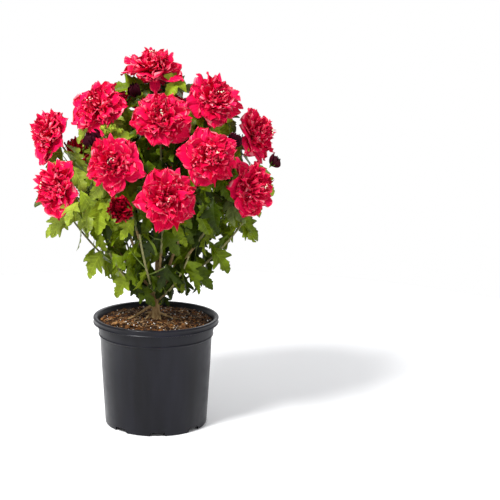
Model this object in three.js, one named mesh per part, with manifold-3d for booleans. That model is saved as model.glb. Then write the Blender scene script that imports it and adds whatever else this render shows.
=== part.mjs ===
// Double-flowered hibiscus shrub in a round nursery pot. Millimetres, +Z up.
// The origin is the centre of the pot's flat underside, and the shrub's best side faces -Y.

import * as THREE from "three";
import { mergeVertices } from "three/addons/utils/BufferGeometryUtils.js";
import Module from "manifold-3d";

const wasm = await Module();
wasm.setup();

// Clearance between two solids that touch in the real plant
const GAP = 0.3;

// Corners of a fused solid that lie closer than this are made one
const WELD = 0.02;

// Pot: a moulded nursery pot with a rolled rim and a slight step under it
const POT_SIDES = 40;
const POT_HEIGHT = 200;
const RIM_RADIUS = 115;
const RIM_INNER_RADIUS = 106.5;
const RIM_DEPTH = 11;
const RIM_EDGE = 1.5;
const WALL = 2;
const NECK_RADIUS = 107;
const STEP_HEIGHT = 167;
const STEP_RADIUS = 104;
const STEP_OFFSET = 1.2;
const BASE_RADIUS = 94;
const BASE_EDGE = 2.5;

// Drain notches in the pot's bottom edge, evenly round it
const NOTCHES = 8;
const NOTCH_WIDTH = 26;
const NOTCH_HEIGHT = 7;
const NOTCH_DEPTH = 14;
const NOTCH_CORNER = 3;
const FIRST_NOTCH_AZIMUTH = -88;

// Bark mix that fills the pot
const SOIL_SIDES = 20;
const SOIL_LEVEL = 194;
const SOIL_EDGE_LEVEL = 191;
const SOIL_FLAT_RADIUS = 72;

// Trunk: a short single stem, leaning a little, with a root flare
const TRUNK_SIDES = 10;
const TRUNK_FOOT = new THREE.Vector3(-1, 0, SOIL_LEVEL + GAP);
const TRUNK_TOP = new THREE.Vector3(1, 2, 269);
const TRUNK_RADIUS = 7.6;
const TRUNK_RINGS = [
  { rise: -4, radius: 12.5 },
  { rise: 4, radius: 10 },
  { rise: 14, radius: TRUNK_RADIUS },
  { rise: 40, radius: 7 },
  { rise: TRUNK_TOP.z - TRUNK_FOOT.z, radius: 6.4 },
];

// Surface roots: azimuth in degrees, reach, height where each leaves the trunk, thickness
const ROOTS = [
  { azimuth: 188, reach: 54, rise: 30, radius: 3.2 },
  { azimuth: 212, reach: 27, rise: 19, radius: 2.6 },
  { azimuth: -62, reach: 25, rise: 11, radius: 3.2 },
  { azimuth: -14, reach: 49, rise: 13, radius: 2.4 },
  { azimuth: 48, reach: 38, rise: 12, radius: 3.0 },
  { azimuth: 118, reach: 45, rise: 14, radius: 2.8 },
];
const ROOT_SIDES = 5;
const ROOT_STEPS = 3;
const ROOT_KNEE = { out: 0.45, up: 0.42 };
const ROOT_TIP = 0.5;

// Boughs: slim tapering limbs that fan out of the trunk, and end where they enter a mass
const BOUGH_SIDES = 6;
const BOUGH_STEPS = 6;
const BOUGH_RADIUS = 3.1;
const BOUGH_TIP_RADIUS = 2.2;
const LEADER = "top";
const FIRST_FORK_HEIGHT = 245;
const FORK_SPACING = 7.5;
const FORK_SEARCH = 20;
const FORK_PASSES = 6;
const BOUGH_LIFT = -0.12;
const LEAVING = 0.42;
const ARRIVING = 0.22;
const SPLIT = { first: 0.3, last: 0.8, step: 0.02, room: 7 };

// Foliage masses: a stem with side stems and twigs at the golden angle, and leaves along all
const GOLDEN_ANGLE = 137.508;
const STEM_SIDES = 4;
const STEM_STEPS = 4;
const STEM_TIP_RADIUS = 1.4;
const SIDE_STEM_FORK = 0.225;
const SIDE_STEM_RADIUS = 1.5;
const SIDE_STEM_LIFT = 0.2;
const FIRST_TWIG = 10;
const FIRST_LEAF = 14;
const BEARING_STEM_END = 0.84;
const SKIRT_STEM_END = 0.97;
const TWIG_SIDES = 3;
const TWIG_RADIUS = 1.3;
const TWIG_TIP_RADIUS = 0.95;
const TWIG_LENGTH = 72;
const TWIG_SPACING = 21;
const TWIG_ANGLE = 54;
const TWIG_TRIES = [1, 0.75, 0.5];
const TWIG_SPREAD = 0.25;
const TWIG_BARE_END = 0.85;
const END_LEAF = 0.98;
const LEAF_LENGTH = 70;
const LEAF_SPREAD = 0.18;
const LEAF_WIDTH = 0.78;
const LEAF_WIDEST = 0.46;
const LEAF_FOLD = 0.08;
const LOW_DROOP = 62;
const TOP_DROOP = 12;
const LEAF_ROOT = 0.4;
const LEAF_NECK = 9;
const LEAF_THICKNESS = 1.6;
const LEAF_SPACING = 17;
const LEAF_TRIES = [1, 0.78];
const TURN_TRIES = [0, 1, 2, 3];
const CELL_MARGIN = 0.4;
const TWIG_MARGIN = 2;
const LIMB_MARGIN = 0.9;
const LIMB_SITE = 0.52;

// Reach of the leaves: an egg round the middle of the shrub, full above and tapering below
const REACH_MIDDLE = 400;
const REACH_RADIUS = 218;
const REACH_TOP = 662;
const REACH_FOOT = 216;
const REACH_TAPER = 1.7;

// Open blooms: the mass that bears each, its place, and the way that it faces. The first of a
// mass ends its stem, and the second ends a side stem.
const BLOOM_RADIUS = 51;
const BLOOM_SIDES = 15;
const BLOOM_BACK = 0.3;
const BLOOM_CORE = 0.8;
const PETALS = 5;
const PETAL_EDGE = 0.86;
const BLOOMS = [
  { mass: "top", azimuth: -121, reach: 12, height: 652, face: [-100, 72] },
  { mass: "left", azimuth: -160, reach: 185, height: 446, face: [-150, 12] },
  { mass: "left", azimuth: 171, reach: 199, height: 527, face: [-157, 28] },
  { mass: "front_left", azimuth: -116, reach: 158, height: 497, face: [-104, 16] },
  { mass: "front_left", azimuth: -147, reach: 115, height: 588, face: [-118, 32] },
  { mass: "front", azimuth: -83, reach: 166, height: 441, face: [-84, 10] },
  { mass: "front", azimuth: -86, reach: 98, height: 569, face: [-88, 28] },
  { mass: "front_right", azimuth: -54, reach: 155, height: 506, face: [-72, 20] },
  { mass: "front_right", azimuth: -23, reach: 106, height: 596, face: [-66, 30] },
  { mass: "right", azimuth: -20, reach: 181, height: 442, face: [-32, 12] },
  { mass: "right", azimuth: 9, reach: 184, height: 527, face: [-14, 20] },
  { mass: "back_right", azimuth: 38, reach: 172, height: 450, face: [42, 14] },
  { mass: "back_right", azimuth: 38, reach: 125, height: 575, face: [50, 30] },
  { mass: "back", azimuth: 86, reach: 168, height: 470, face: [90, 16] },
  { mass: "back", azimuth: 92, reach: 92, height: 602, face: [94, 38] },
  { mass: "back_left", azimuth: 134, reach: 172, height: 450, face: [128, 12] },
  { mass: "back_left", azimuth: 142, reach: 125, height: 572, face: [130, 32] },
];

// Buds and half-open blooms, each on a twig of its own
const BUD_SIDES = 6;
const BUD_FORK = 0.35;
const BUDS = [
  { azimuth: -132, reach: 54, height: 611, radius: 10 },
  { azimuth: -140, reach: 141, height: 531, radius: 11 },
  { azimuth: -110, reach: 176, height: 425, radius: 20 },
  { azimuth: -27, reach: 150, height: 528, radius: 10 },
  { azimuth: -2, reach: 209, height: 483, radius: 8 },
  { azimuth: 66, reach: 150, height: 530, radius: 10 },
  { azimuth: 156, reach: 158, height: 502, radius: 19 },
];

// Skirt: flowerless masses that hang low round the trunk, high and low ones by turns
const SKIRTS = 8;
const SKIRT_FIRST_AZIMUTH = -100;
const SKIRT_REACH = [160, 100];
const SKIRT_HEIGHT = [380, 328];
const SKIRT_START = [240, 231];
const SKIRT_STEM_RADIUS = 2.2;
const SKIRT_RISE_ANGLE = 30;
const SKIRT_HANG = 42;

const COLOURS = {
  pot: 0x2b2c30,
  soil: 0x4a3223,
  bark: 0x9a8467,
  leaf: 0x55801f,
  petal: 0xd81c45,
  bud: 0x7a0f26,
};

const UP = new THREE.Vector3(0, 0, 1);
const radians = THREE.MathUtils.degToRad;

function cylindrical(azimuth, reach, height) {
  const angle = radians(azimuth);
  return new THREE.Vector3(reach * Math.cos(angle), reach * Math.sin(angle), height);
}

function direction(azimuth, elevation) {
  const rise = radians(elevation);
  return cylindrical(azimuth, Math.cos(rise), Math.sin(rise));
}

// The same numbers on every machine, one stream for each seed
function randomStream(seed) {
  let state = seed;
  return () => {
    state = (state * 1664525 + 1013904223) % 4294967296;
    return state / 4294967296;
  };
}

// Solids from meshes, and meshes back from solids

// The label marks the solid's triangles, and stays on them when it is fused with others
function toSolid(geometry, label = 0) {
  const bare = geometry.clone();
  bare.deleteAttribute("normal");
  bare.deleteAttribute("uv");
  const merged = mergeVertices(bare);
  return new wasm.Manifold(
    new wasm.Mesh({
      numProp: 3,
      vertProperties: new Float32Array(merged.attributes.position.array),
      triVerts: new Uint32Array(merged.index.array),
      runOriginalID: new Uint32Array([label]),
      runIndex: new Uint32Array([0, merged.index.count]),
    }),
  );
}

function toGeometry(solid) {
  const mesh = solid.getMesh();
  const geometry = new THREE.BufferGeometry();
  geometry.setAttribute("position", new THREE.BufferAttribute(mesh.vertProperties, 3));
  geometry.setIndex(new THREE.BufferAttribute(mesh.triVerts, 1));
  return geometry;
}

function fromTriangles(points, triangles) {
  const geometry = new THREE.BufferGeometry().setFromPoints(points);
  geometry.setIndex(triangles.flat());
  return geometry;
}

// One fused solid, whose triangles keep the colour of the piece that they come from
function fuse(pieces) {
  const solids = pieces.map(({ geometry }, label) => toSolid(geometry, label));
  const body = largestBody(solids.reduce((whole, solid) => whole.add(solid)).simplify(WELD));
  const geometry = toGeometry(body).toNonIndexed();
  const { runOriginalID, runIndex } = body.getMesh();
  const tint = new Float32Array(geometry.attributes.position.count * 3);
  runOriginalID.forEach((label, run) => {
    const colour = new THREE.Color(pieces[label].colour);
    for (let corner = runIndex[run]; corner < runIndex[run + 1]; corner += 1) {
      colour.toArray(tint, corner * 3);
    }
  });
  geometry.setAttribute("color", new THREE.BufferAttribute(tint, 3));
  geometry.computeVertexNormals();
  return geometry;
}

// The outer body alone: loose scraps and sealed hollows that fusing leaves are dropped
function largestBody(solid) {
  const bodies = solid.decompose();
  return bodies.reduce((best, body) => (body.volume() > best.volume() ? body : best));
}

// A tapering limb: rings square to its line, closed by flat ends
function limbGeometry(points, radii, sides) {
  const vertices = [];
  const triangles = [];
  const last = points.length - 1;
  const across = new THREE.Vector3(0.31, 0.17, 0.93);
  points.forEach((point, step) => {
    const before = points[Math.max(step - 1, 0)];
    const after = points[Math.min(step + 1, last)];
    const along = after.clone().sub(before).normalize();
    across.addScaledVector(along, -across.dot(along)).normalize();
    const other = along.clone().cross(across);
    for (let side = 0; side < sides; side += 1) {
      const turn = (side / sides) * 2 * Math.PI;
      const vertex = point.clone().addScaledVector(across, radii[step] * Math.cos(turn));
      vertices.push(vertex.addScaledVector(other, radii[step] * Math.sin(turn)));
    }
  });
  for (let step = 0; step < last; step += 1) {
    for (let side = 0; side < sides; side += 1) {
      const a = step * sides + side;
      const b = step * sides + ((side + 1) % sides);
      triangles.push([a, b, b + sides], [a, b + sides, a + sides]);
    }
  }
  const end = last * sides;
  for (let side = 1; side < sides - 1; side += 1) {
    triangles.push([0, side + 1, side], [end, end + side, end + side + 1]);
  }
  return fromTriangles(vertices, triangles);
}

function taper(from, to, steps) {
  return Array.from({ length: steps + 1 }, (_, step) => from + ((to - from) * step) / steps);
}

// Pot

function turned(profile, sides) {
  const points = profile.map(([radius, height]) => new THREE.Vector2(radius, height));
  return new THREE.LatheGeometry(points, sides).rotateX(Math.PI / 2);
}

// Inner wall: one cone up to the step, and a slightly wider one from there to the rim
const INNER_FOOT = { radius: BASE_RADIUS - WALL, height: WALL };
const INNER_STEP = { radius: STEP_RADIUS - STEP_OFFSET - WALL, height: STEP_HEIGHT - WALL };
const INNER_TOP = { radius: NECK_RADIUS - WALL, height: POT_HEIGHT - WALL };

function innerRadiusAt(height) {
  const [low, high] = height < INNER_STEP.height ? [INNER_FOOT, INNER_STEP] : [INNER_STEP, INNER_TOP];
  return THREE.MathUtils.mapLinear(height, low.height, high.height, low.radius, high.radius);
}

function notchGeometry(index) {
  const outline = new THREE.Shape();
  const half = NOTCH_WIDTH / 2;
  outline.moveTo(-half, -1);
  outline.lineTo(half, -1);
  outline.lineTo(half, NOTCH_HEIGHT - NOTCH_CORNER);
  outline.lineTo(half - NOTCH_CORNER, NOTCH_HEIGHT);
  outline.lineTo(NOTCH_CORNER - half, NOTCH_HEIGHT);
  outline.lineTo(-half, NOTCH_HEIGHT - NOTCH_CORNER);
  const block = new THREE.ExtrudeGeometry(outline, { depth: NOTCH_DEPTH * 2, bevelEnabled: false });
  block.rotateX(Math.PI / 2).translate(0, NOTCH_DEPTH, 0);
  block.rotateZ(Math.PI / 2).translate(BASE_RADIUS, 0, 0);
  return block.rotateZ(radians(FIRST_NOTCH_AZIMUTH + (360 / NOTCHES) * index));
}

function potGeometry() {
  const rimBottom = POT_HEIGHT - RIM_DEPTH;
  const shell = turned(
    [
      [0, 0],
      [BASE_RADIUS - BASE_EDGE, 0],
      [BASE_RADIUS, BASE_EDGE],
      [STEP_RADIUS - STEP_OFFSET, STEP_HEIGHT - STEP_OFFSET],
      [STEP_RADIUS, STEP_HEIGHT],
      [NECK_RADIUS, rimBottom + WALL],
      [RIM_RADIUS - RIM_EDGE, rimBottom],
      [RIM_RADIUS, rimBottom + RIM_EDGE],
      [RIM_RADIUS, POT_HEIGHT - RIM_EDGE],
      [RIM_RADIUS - RIM_EDGE, POT_HEIGHT],
      [RIM_INNER_RADIUS, POT_HEIGHT],
      [INNER_TOP.radius, INNER_TOP.height],
      [INNER_STEP.radius, INNER_STEP.height],
      [INNER_FOOT.radius, INNER_FOOT.height],
      [0, WALL],
    ],
    POT_SIDES,
  );
  let pot = toSolid(shell);
  for (let index = 0; index < NOTCHES; index += 1) {
    pot = pot.subtract(toSolid(notchGeometry(index)));
  }
  return toGeometry(pot);
}

// Bark mix: flat round the trunk, where the surface roots lie, and lower at the wall
function soilGeometry() {
  const wall = [WALL + GAP, INNER_STEP.height, SOIL_EDGE_LEVEL];
  return turned(
    [
      [0, WALL + GAP],
      ...wall.map((height) => [innerRadiusAt(height) - GAP, height]),
      [SOIL_FLAT_RADIUS, SOIL_LEVEL],
      [0, SOIL_LEVEL],
    ],
    SOIL_SIDES,
  );
}

// Trunk with its flare and surface roots, cut flat where it meets the bark mix

function trunkPoint(height) {
  const share = (height - TRUNK_FOOT.z) / (TRUNK_TOP.z - TRUNK_FOOT.z);
  return TRUNK_FOOT.clone().lerp(TRUNK_TOP, share);
}

function rootGeometry({ azimuth, reach, rise, radius }) {
  const start = trunkPoint(SOIL_LEVEL + rise);
  const out = cylindrical(azimuth, 1, 0);
  const knee = start.clone().addScaledVector(out, reach * ROOT_KNEE.out);
  knee.z = SOIL_LEVEL + rise * ROOT_KNEE.up;
  const tip = TRUNK_FOOT.clone().addScaledVector(out, reach);
  tip.z = SOIL_LEVEL - radius * ROOT_TIP;
  const line = new THREE.QuadraticBezierCurve3(start, knee, tip).getPoints(ROOT_STEPS);
  return limbGeometry(line, taper(radius, radius * ROOT_TIP, ROOT_STEPS), ROOT_SIDES);
}

function trunkSolid() {
  const line = TRUNK_RINGS.map(({ rise }) => trunkPoint(TRUNK_FOOT.z + rise));
  const radii = TRUNK_RINGS.map(({ radius }) => radius);
  const pieces = [limbGeometry(line, radii, TRUNK_SIDES), ...ROOTS.map(rootGeometry)];
  const whole = pieces.map((piece) => toSolid(piece)).reduce((one, other) => one.add(other));
  const below = new THREE.BoxGeometry(RIM_RADIUS * 2, RIM_RADIUS * 2, SOIL_LEVEL);
  below.translate(0, 0, TRUNK_FOOT.z - SOIL_LEVEL / 2);
  return largestBody(whole.subtract(toSolid(below)));
}

const trunk = trunkSolid();

// Limb lines: each runs from its fork to the back of its bloom, bough first and then stem

function centreOf({ azimuth, reach, height }) {
  return cylindrical(azimuth, reach, height);
}

// The place where a limb leaves the trunk: its foot is brought in until just the gap is left
function forkPoint(height, heading, radius) {
  const outward = new THREE.Vector3(heading.x, heading.y, 0).normalize();
  const start = trunkPoint(height).addScaledVector(outward, FORK_SEARCH);
  for (let pass = 0; pass < FORK_PASSES; pass += 1) {
    const foot = [start, start.clone().addScaledVector(heading, radius)];
    const limb = toSolid(limbGeometry(foot, [radius, radius], BOUGH_SIDES));
    start.addScaledVector(outward, GAP - limb.minGap(trunk, FORK_SEARCH));
  }
  return start;
}

function limbLine(start, heading, bloom) {
  const face = direction(...bloom.face);
  const end = centreOf(bloom).addScaledVector(face, -BLOOM_RADIUS * BLOOM_BACK);
  const span = start.distanceTo(end);
  const leave = start.clone().addScaledVector(heading, span * LEAVING);
  const arrive = end.clone().addScaledVector(face, -span * ARRIVING);
  return new THREE.CubicBezierCurve3(start, leave, arrive, end);
}

// The way that a limb sets off: towards its bloom, flatter or steeper by the share of up in it
function headingTo(bloom, from, lift) {
  return centreOf(bloom).sub(from).normalize().addScaledVector(UP, lift).normalize();
}

function boughLine(bloom, order) {
  if (bloom.mass === LEADER) {
    return limbLine(TRUNK_TOP.clone().addScaledVector(UP, GAP), UP.clone(), bloom);
  }
  const height = FIRST_FORK_HEIGHT + (order % 3) * FORK_SPACING;
  const heading = headingTo(bloom, trunkPoint(height), BOUGH_LIFT);
  return limbLine(forkPoint(height, heading, BOUGH_RADIUS), heading, bloom);
}

function stretch(line, from, to, steps) {
  return taper(from, to, steps).map((share) => line.getPoint(share));
}

// Masses and the space of each: all that lies nearer to one of its own sites than to any other
// mass's. The sites are the middles of its blooms and a point part way along its limb. A skirt
// mass has two sites under its stem, because its leaves hang.

function flowerMass(name, order) {
  const blooms = BLOOMS.filter(({ mass }) => mass === name);
  const line = boughLine(blooms[0], order);
  const sites = [...blooms.map(centreOf), line.getPoint(LIMB_SITE)];
  return { name, sites, blooms, line, seed: 117 + 37 * order };
}

function skirtMass(index) {
  const azimuth = SKIRT_FIRST_AZIMUTH + (360 / SKIRTS) * index;
  const level = index % 2;
  const heading = direction(azimuth, SKIRT_RISE_ANGLE);
  const start = forkPoint(SKIRT_START[level], heading, SKIRT_STEM_RADIUS);
  const end = cylindrical(azimuth, SKIRT_REACH[level], SKIRT_HEIGHT[level]);
  const leave = start.clone().addScaledVector(heading, start.distanceTo(end) * 0.5);
  const line = new THREE.QuadraticBezierCurve3(start, leave, end);
  const outer = end.clone().addScaledVector(UP, -SKIRT_HANG);
  const inner = line.getPoint(0.5).addScaledVector(UP, -SKIRT_HANG / 2);
  return {
    name: `skirt_${index + 1}`,
    sites: [outer, inner],
    blooms: [],
    line,
    seed: 907 + 53 * index,
  };
}

function nearestSite(sites, point) {
  return sites.reduce((best, site) =>
    site.distanceToSquared(point) < best.distanceToSquared(point) ? site : best,
  );
}

// How far a point lies inside the mass's space, negative outside it
function roomAt(mass, masses, point) {
  const own = nearestSite(mass.sites, point);
  const others = masses.filter((other) => other !== mass).flatMap(({ sites }) => sites);
  const rooms = others.map((site) => {
    const nearer = point.distanceToSquared(site) - point.distanceToSquared(own);
    return nearer / (2 * own.distanceTo(site));
  });
  return Math.min(...rooms);
}

function inReach(point) {
  const out = Math.hypot(point.x, point.y) / REACH_RADIUS;
  const rise = point.z - REACH_MIDDLE;
  if (rise > 0) {
    return out ** 2 + (rise / (REACH_TOP - REACH_MIDDLE)) ** 2 < 1;
  }
  const drop = -rise / (REACH_MIDDLE - REACH_FOOT);
  return out ** REACH_TAPER + drop ** REACH_TAPER < 1;
}

// Where the bough ends and the mass's own stem goes on: well inside the mass's space
function splitShare(mass, masses) {
  let share = SPLIT.first;
  while (share < SPLIT.last && roomAt(mass, masses, mass.line.getPoint(share)) < SPLIT.room) {
    share += SPLIT.step;
  }
  return share;
}

// The mass's own stem, which goes on from its bough, and a side stem for each further bloom
function stemLines(mass) {
  const from = mass.split ? mass.split + GAP / mass.line.getLength() : 0;
  const stem = new THREE.CatmullRomCurve3(stretch(mass.line, from, 1, STEM_STEPS));
  const fork = stem.getPoint(SIDE_STEM_FORK);
  const sides = mass.blooms
    .slice(1)
    .map((bloom) => limbLine(fork, headingTo(bloom, fork, SIDE_STEM_LIFT), bloom));
  return [stem, ...sides];
}

// Tests against limbs, which are known as rows of close points

function limbSamples(line, radius, to) {
  const count = Math.ceil((line.getLength() * to) / 2);
  return stretch(line, 0, to, count).map((point) => ({ point, radius }));
}

function clearOfLimbs(triangle, thickness, samples) {
  const nearest = new THREE.Vector3();
  return samples.every(({ point, radius }) => {
    triangle.closestPointToPoint(point, nearest);
    return nearest.distanceTo(point) > radius + thickness + LIMB_MARGIN;
  });
}

// Leaf: a pointed blade with a raised middle, six faces in all

function leafCorners(base, along, length) {
  const level = UP.clone().addScaledVector(along, -UP.dot(along)).normalize();
  const across = level.clone().cross(along);
  const half = (length * LEAF_WIDTH) / 2;
  const widest = length * LEAF_WIDEST;
  const fold = length * LEAF_FOLD;
  const corners = [
    [-LEAF_ROOT, 0, 0],
    [widest, half, -fold],
    [length, 0, -fold],
    [widest, -half, -fold],
    [LEAF_NECK, 0, LEAF_THICKNESS],
  ];
  return corners.map(([forward, sideways, lift]) =>
    base
      .clone()
      .addScaledVector(along, forward)
      .addScaledVector(across, sideways)
      .addScaledVector(level, lift),
  );
}

const LEAF_FACES = [
  [4, 1, 0],
  [4, 2, 1],
  [4, 3, 2],
  [4, 0, 3],
  [0, 1, 3],
  [1, 2, 3],
];

// The blade's two halves, each from its base to the tip and one side
function leafHalves([base, left, tip, right]) {
  return [new THREE.Triangle(base, tip, left), new THREE.Triangle(base, right, tip)];
}

function segmentCuts(from, to, triangle) {
  const ray = new THREE.Ray(from, to.clone().sub(from).normalize());
  const hit = ray.intersectTriangle(triangle.a, triangle.b, triangle.c, false, new THREE.Vector3());
  return hit !== null && hit.distanceTo(from) < to.distanceTo(from);
}

function anyCut(segments, halves) {
  return halves.some((half) => segments.some(([from, to]) => segmentCuts(from, to, half)));
}

function leafEdges([base, left, tip, right]) {
  return [[base, left], [left, tip], [tip, right], [right, base], [base, tip]];
}

function leavesCross(one, other) {
  return anyCut(leafEdges(one), leafHalves(other)) || anyCut(leafEdges(other), leafHalves(one));
}

// The blade without its foot, which is sunk in the shoot that bears it
function bladeHalves([base, left, tip, right]) {
  return leafHalves([base.clone().lerp(tip, 0.1), left, tip, right]);
}

// Leaves hang more steeply low in the shrub than near its top
function leafHeading(outward, along, height) {
  const level = outward.clone().addScaledVector(along, 0.5).setZ(0).normalize();
  const rise = (height - SKIRT_HEIGHT[1]) / (REACH_TOP - SKIRT_HEIGHT[1]);
  const droop = radians(THREE.MathUtils.lerp(LOW_DROOP, TOP_DROOP, rise));
  return level.multiplyScalar(Math.cos(droop)).addScaledVector(UP, -Math.sin(droop));
}

// Unit vector square to a limb, turned round it by an angle
function sidewaysOf(along, turn) {
  const first = new THREE.Vector3(0.31, 0.17, 0.93);
  first.addScaledVector(along, -first.dot(along)).normalize();
  const second = along.clone().cross(first);
  return first.multiplyScalar(Math.cos(turn)).addScaledVector(second, Math.sin(turn));
}

// The first leaf that fits, full size before small, and turned round the shoot if need be
function fittingLeaf(base, along, turn, length, fits) {
  for (const scale of LEAF_TRIES) {
    for (const extra of TURN_TRIES) {
      const outward = sidewaysOf(along, turn + extra * radians(GOLDEN_ANGLE));
      const heading = leafHeading(outward, along, base.z);
      const corners = leafCorners(base, heading, length * scale);
      if (fits(corners)) {
        return [{ geometry: fromTriangles(corners, LEAF_FACES), colour: COLOURS.leaf }];
      }
    }
  }
  return [];
}

function growLeaves(line, from, to, draw, fits) {
  const leaves = [];
  const length = line.getLength();
  const first = draw() * 2 * Math.PI;
  for (let place = from; place < to * length; place += LEAF_SPACING) {
    const size = LEAF_LENGTH * (1 - LEAF_SPREAD * draw());
    const turn = first + (place / LEAF_SPACING) * radians(GOLDEN_ANGLE);
    const base = line.getPointAt(place / length);
    leaves.push(...fittingLeaf(base, line.getTangentAt(place / length), turn, size, fits));
  }
  return leaves;
}

// The leaf that a shoot ends in
function endLeaf(line, fits) {
  return fittingLeaf(line.getPoint(END_LEAF), line.getTangent(1), 0, LEAF_LENGTH, fits);
}

function twigLine(base, heading, length) {
  return new THREE.LineCurve3(base, base.clone().addScaledVector(heading, length));
}

function limbPiece(line, radii, sides) {
  const points = stretch(line, 0, 1, radii.length - 1);
  return { geometry: limbGeometry(points, radii, sides), colour: COLOURS.bark };
}

// Side twigs at the golden angle along a stem, each with leaves along it and one at its tip
function growTwigs(line, from, to, draw, fits) {
  const pieces = [];
  const length = line.getLength();
  const first = draw() * 2 * Math.PI;
  for (let place = from; place < to * length; place += TWIG_SPACING) {
    const size = TWIG_LENGTH * (1 - TWIG_SPREAD * draw());
    const twigDraw = randomStream(Math.floor(draw() * 1e6));
    const base = line.getPointAt(place / length);
    const along = line.getTangentAt(place / length);
    const outward = sidewaysOf(along, first + (place / TWIG_SPACING) * radians(GOLDEN_ANGLE));
    const heading = along.clone().multiplyScalar(Math.cos(radians(TWIG_ANGLE)));
    heading.addScaledVector(outward, Math.sin(radians(TWIG_ANGLE)));
    const twig = TWIG_TRIES.map((scale) => twigLine(base, heading, size * scale)).find(fits.twig);
    if (twig) {
      fits.addShoot(twig, 1);
      const leaves = endLeaf(twig, fits.leaf);
      leaves.push(...growLeaves(twig, LEAF_SPACING, TWIG_BARE_END, twigDraw, fits.leaf));
      if (leaves.length) {
        pieces.push(limbPiece(twig, [TWIG_RADIUS, TWIG_TIP_RADIUS], TWIG_SIDES), ...leaves);
      }
    }
  }
  return pieces;
}

// Bloom: a scalloped, ruffled ring of petals round a tall crumpled centre. Its corners are
// pulled in towards its middle where a neighbour's space begins.
function bloomGeometry(bloom, room) {
  const face = direction(...bloom.face);
  const centre = centreOf(bloom);
  const across = sidewaysOf(face, 0);
  const other = face.clone().cross(across);
  const corner = (radius, turn, rise) => {
    const arm = face.clone().multiplyScalar(rise * BLOOM_RADIUS);
    arm.addScaledVector(across, radius * BLOOM_RADIUS * Math.cos(turn));
    arm.addScaledVector(other, radius * BLOOM_RADIUS * Math.sin(turn));
    while (room(centre.clone().add(arm)) < CELL_MARGIN) {
      arm.multiplyScalar(0.96);
    }
    return arm.add(centre);
  };
  const rings = [
    { rise: -0.14, ruffle: 0, radius: () => 0.6 },
    { rise: 0.04, ruffle: 0.07, radius: petalEdge },
    { rise: 0.5, ruffle: 0.05, radius: (side) => 0.58 + 0.1 * (side % 2) },
  ];
  const points = [corner(0, 0, -0.34)];
  for (const { rise, ruffle, radius } of rings) {
    for (let side = 0; side < BLOOM_SIDES; side += 1) {
      const turn = (side / BLOOM_SIDES) * 2 * Math.PI;
      points.push(corner(radius(side), turn, rise + (side % 2 ? ruffle : -ruffle)));
    }
  }
  points.push(corner(0, 0, 0.52));
  return fromTriangles(points, shellTriangles(rings.length, BLOOM_SIDES));
}

// Five petals: the edge swells in the middle of each and dips between two
function petalEdge(side) {
  const perPetal = BLOOM_SIDES / PETALS;
  const share = (side % perPetal) / perPetal;
  return THREE.MathUtils.lerp(PETAL_EDGE, 1, Math.sin(share * Math.PI));
}

// Faces between a first point, a number of rings and a last point
function shellTriangles(rings, sides) {
  const triangles = [];
  const last = rings * sides + 1;
  for (let side = 0; side < sides; side += 1) {
    const next = (side + 1) % sides;
    triangles.push([0, 1 + next, 1 + side]);
    triangles.push([last, last - sides + side, last - sides + next]);
    for (let ring = 0; ring < rings - 1; ring += 1) {
      const a = 1 + ring * sides + side;
      const b = 1 + ring * sides + next;
      triangles.push([a, b, b + sides], [a, b + sides, a + sides]);
    }
  }
  return triangles;
}

// Bud: a short egg in line with its twig
function budPieces(bud, stem, fits) {
  const centre = centreOf(bud);
  const base = stem.getPoint(BUD_FORK);
  const along = centre.clone().sub(base).normalize();
  const across = sidewaysOf(along, 0);
  const other = along.clone().cross(across);
  const rings = [
    { rise: -0.6, width: 0.75 },
    { rise: 0.2, width: 1 },
    { rise: 0.8, width: 0.62 },
  ];
  const points = [centre.clone().addScaledVector(along, -bud.radius * 1.1)];
  for (const { rise, width } of rings) {
    for (let side = 0; side < BUD_SIDES; side += 1) {
      const turn = (side / BUD_SIDES) * 2 * Math.PI;
      const point = centre.clone().addScaledVector(along, rise * bud.radius);
      point.addScaledVector(across, width * bud.radius * Math.cos(turn));
      points.push(point.addScaledVector(other, width * bud.radius * Math.sin(turn)));
    }
  }
  points.push(centre.clone().addScaledVector(along, bud.radius * 1.05));
  const faces = shellTriangles(rings.length, BUD_SIDES);
  const twig = new THREE.LineCurve3(base, centre.clone().addScaledVector(along, -bud.radius * 0.6));
  fits.addShoot(new THREE.LineCurve3(base, centre.clone().addScaledVector(along, bud.radius)), 1);
  return [
    { geometry: fromTriangles(points, faces), colour: COLOURS.bud },
    limbPiece(twig, [TWIG_RADIUS, TWIG_TIP_RADIUS], TWIG_SIDES),
  ];
}

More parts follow.
